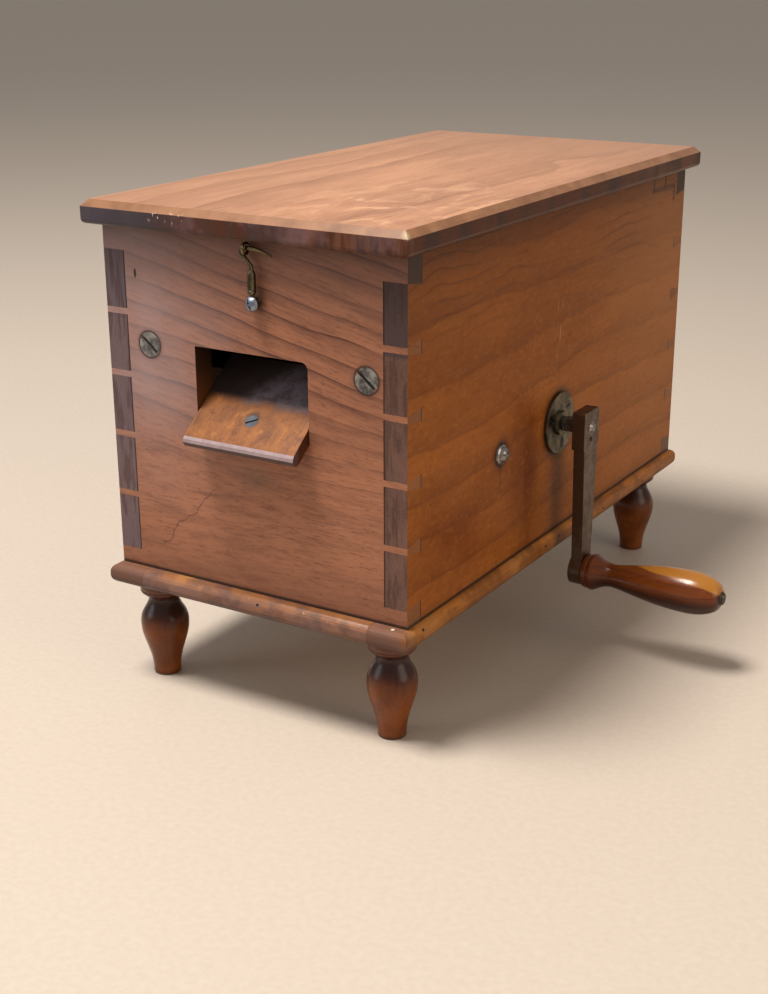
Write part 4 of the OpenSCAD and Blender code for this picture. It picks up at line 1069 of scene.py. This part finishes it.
# A tooth's knee and tip, as parts of its height: how high and how far forward
KNEE_UP, KNEE_OUT, TIP_OUT = 0.5, 0.10, 0.62
CLOTH_MARGIN = 1.5 * MM
ROLLER_PITCH, FLAT_PITCH = 2.8 * MM, 2.7 * MM
FLAT_CLOTH = 2 * MM
DRUM_TOOTH, LICKER_TOOTH, FLAT_TOOTH = 4.3 * MM, 5.6 * MM, 3.1 * MM


def add_tooth(form, foot, up, lean, height):
    """One bent wire: up from its foot, then leaning forward to a point."""
    knee = foot + up * height * KNEE_UP + lean * height * KNEE_OUT
    tip = foot + up * height + lean * height * TIP_OUT
    across = up.cross(lean).normalized()
    turns = [2 * math.pi * k / 3 for k in range(3)]
    rings = [[form.verts.new(point + TOOTH_R * (math.cos(turn) * lean + math.sin(turn) * across))
              for turn in turns] for point in (foot - up * TOOTH_ROOT, knee)]
    end = form.verts.new(tip)
    for k in range(3):
        nxt = (k + 1) % 3
        form.faces.new((rings[0][k], rings[0][nxt], rings[1][nxt], rings[1][k]))
        form.faces.new((rings[1][k], rings[1][nxt], end))
    form.faces.new(rings[0])


def count_columns(low, high, pitch):
    return round((high.x - low.x - 2 * CLOTH_MARGIN) / pitch)


def column_x(low, high, row, column, columns):
    """Where a tooth stands across its cloth; every other row is shifted by half a pitch."""
    width = high.x - low.x - 2 * CLOTH_MARGIN
    return low.x + CLOTH_MARGIN + (column + 0.25 + 0.5 * (row % 2)) * width / columns


def make_round_teeth(name, cloth, axis, body, height, dice, lean_way, material):
    """Wire teeth all round a roller's card cloth, in staggered rows."""
    low, high = (Vector(corner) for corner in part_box(cloth))
    radius = (high.z - low.z) / 2
    columns = count_columns(low, high, ROLLER_PITCH)
    rows = round(2 * math.pi * radius / ROLLER_PITCH)
    form = bmesh.new()
    for row in range(rows):
        for column in range(columns):
            x = column_x(low, high, row, column, columns)
            turn = 2 * math.pi * (row + dice.uniform(-0.12, 0.12)) / rows
            up = Vector((0, math.cos(turn), math.sin(turn)))
            lean = Vector((0, -math.sin(turn), math.cos(turn))) * lean_way
            foot = Vector((x + dice.uniform(-0.15, 0.15) * MM, axis.y, axis.z)) + up * radius
            add_tooth(form, foot, up, lean, height * dice.uniform(0.96, 1.0))
    new_piece(name, form, material, body, smooth=False)


def make_flat_teeth(dice, material):
    """Wire teeth on the hollow face of the flat, pointing at the drum."""
    low, high = (Vector(corner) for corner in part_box("flat_card_cloth"))
    radius = high.z - DRUM_AXIS.z - FLAT_CLOTH
    columns = count_columns(low, high, FLAT_PITCH)
    span = math.asin((high.y - low.y) / 2 / radius)
    rows = round(2 * span * radius / FLAT_PITCH)
    form = bmesh.new()
    for row in range(1, rows):
        for column in range(columns):
            x = column_x(low, high, row, column, columns)
            turn = -span + 2 * span * row / rows
            out = Vector((0, math.sin(turn), math.cos(turn)))
            x += dice.uniform(-0.15, 0.15) * MM
            foot = Vector((x, DRUM_AXIS.y, DRUM_AXIS.z)) + out * radius
            lean = Vector((0, math.cos(turn), -math.sin(turn)))
            add_tooth(form, foot, -out, lean, FLAT_TOOTH * dice.uniform(0.95, 1.0))
    new_piece("flat_teeth", form, material, "case", smooth=False)


def make_teeth():
    dice = random.Random(TEETH_SEED)
    wire = metal("tooth_wire", (0.50, 0.49, 0.47), (0.20, 0.18, 0.16), roughness=0.32)
    make_round_teeth("drum_teeth", "drum_card_cloth", DRUM_AXIS, "crank", DRUM_TOOTH, dice, -1,
                     wire)
    make_round_teeth("licker_teeth", "licker_card_cloth", LICKER_AXIS, "licker", LICKER_TOOTH, dice,
                     1, wire)
    make_flat_teeth(dice, wire)


make_camera()
make_studio()
make_floor()
dress_wood()
bronze = dress_metal()
make_feet()
make_grip()
make_hook(bronze)
make_teeth()
soften(FINE_EDGE, 2, "front_board", "back_board", "left_board", "right_board", "bottom_board",
       "front_moulding", "back_moulding", "left_moulding", "right_moulding", "feed_tongue",
       "inner_chute", "chute_bar", "left_rail", "right_rail", "flat_bar")
soften(ROUND_EDGE, 3, "lid_board", "crank_arm")
soften(FINE_EDGE, 2, "left_bearing_plate", "right_bearing_plate")
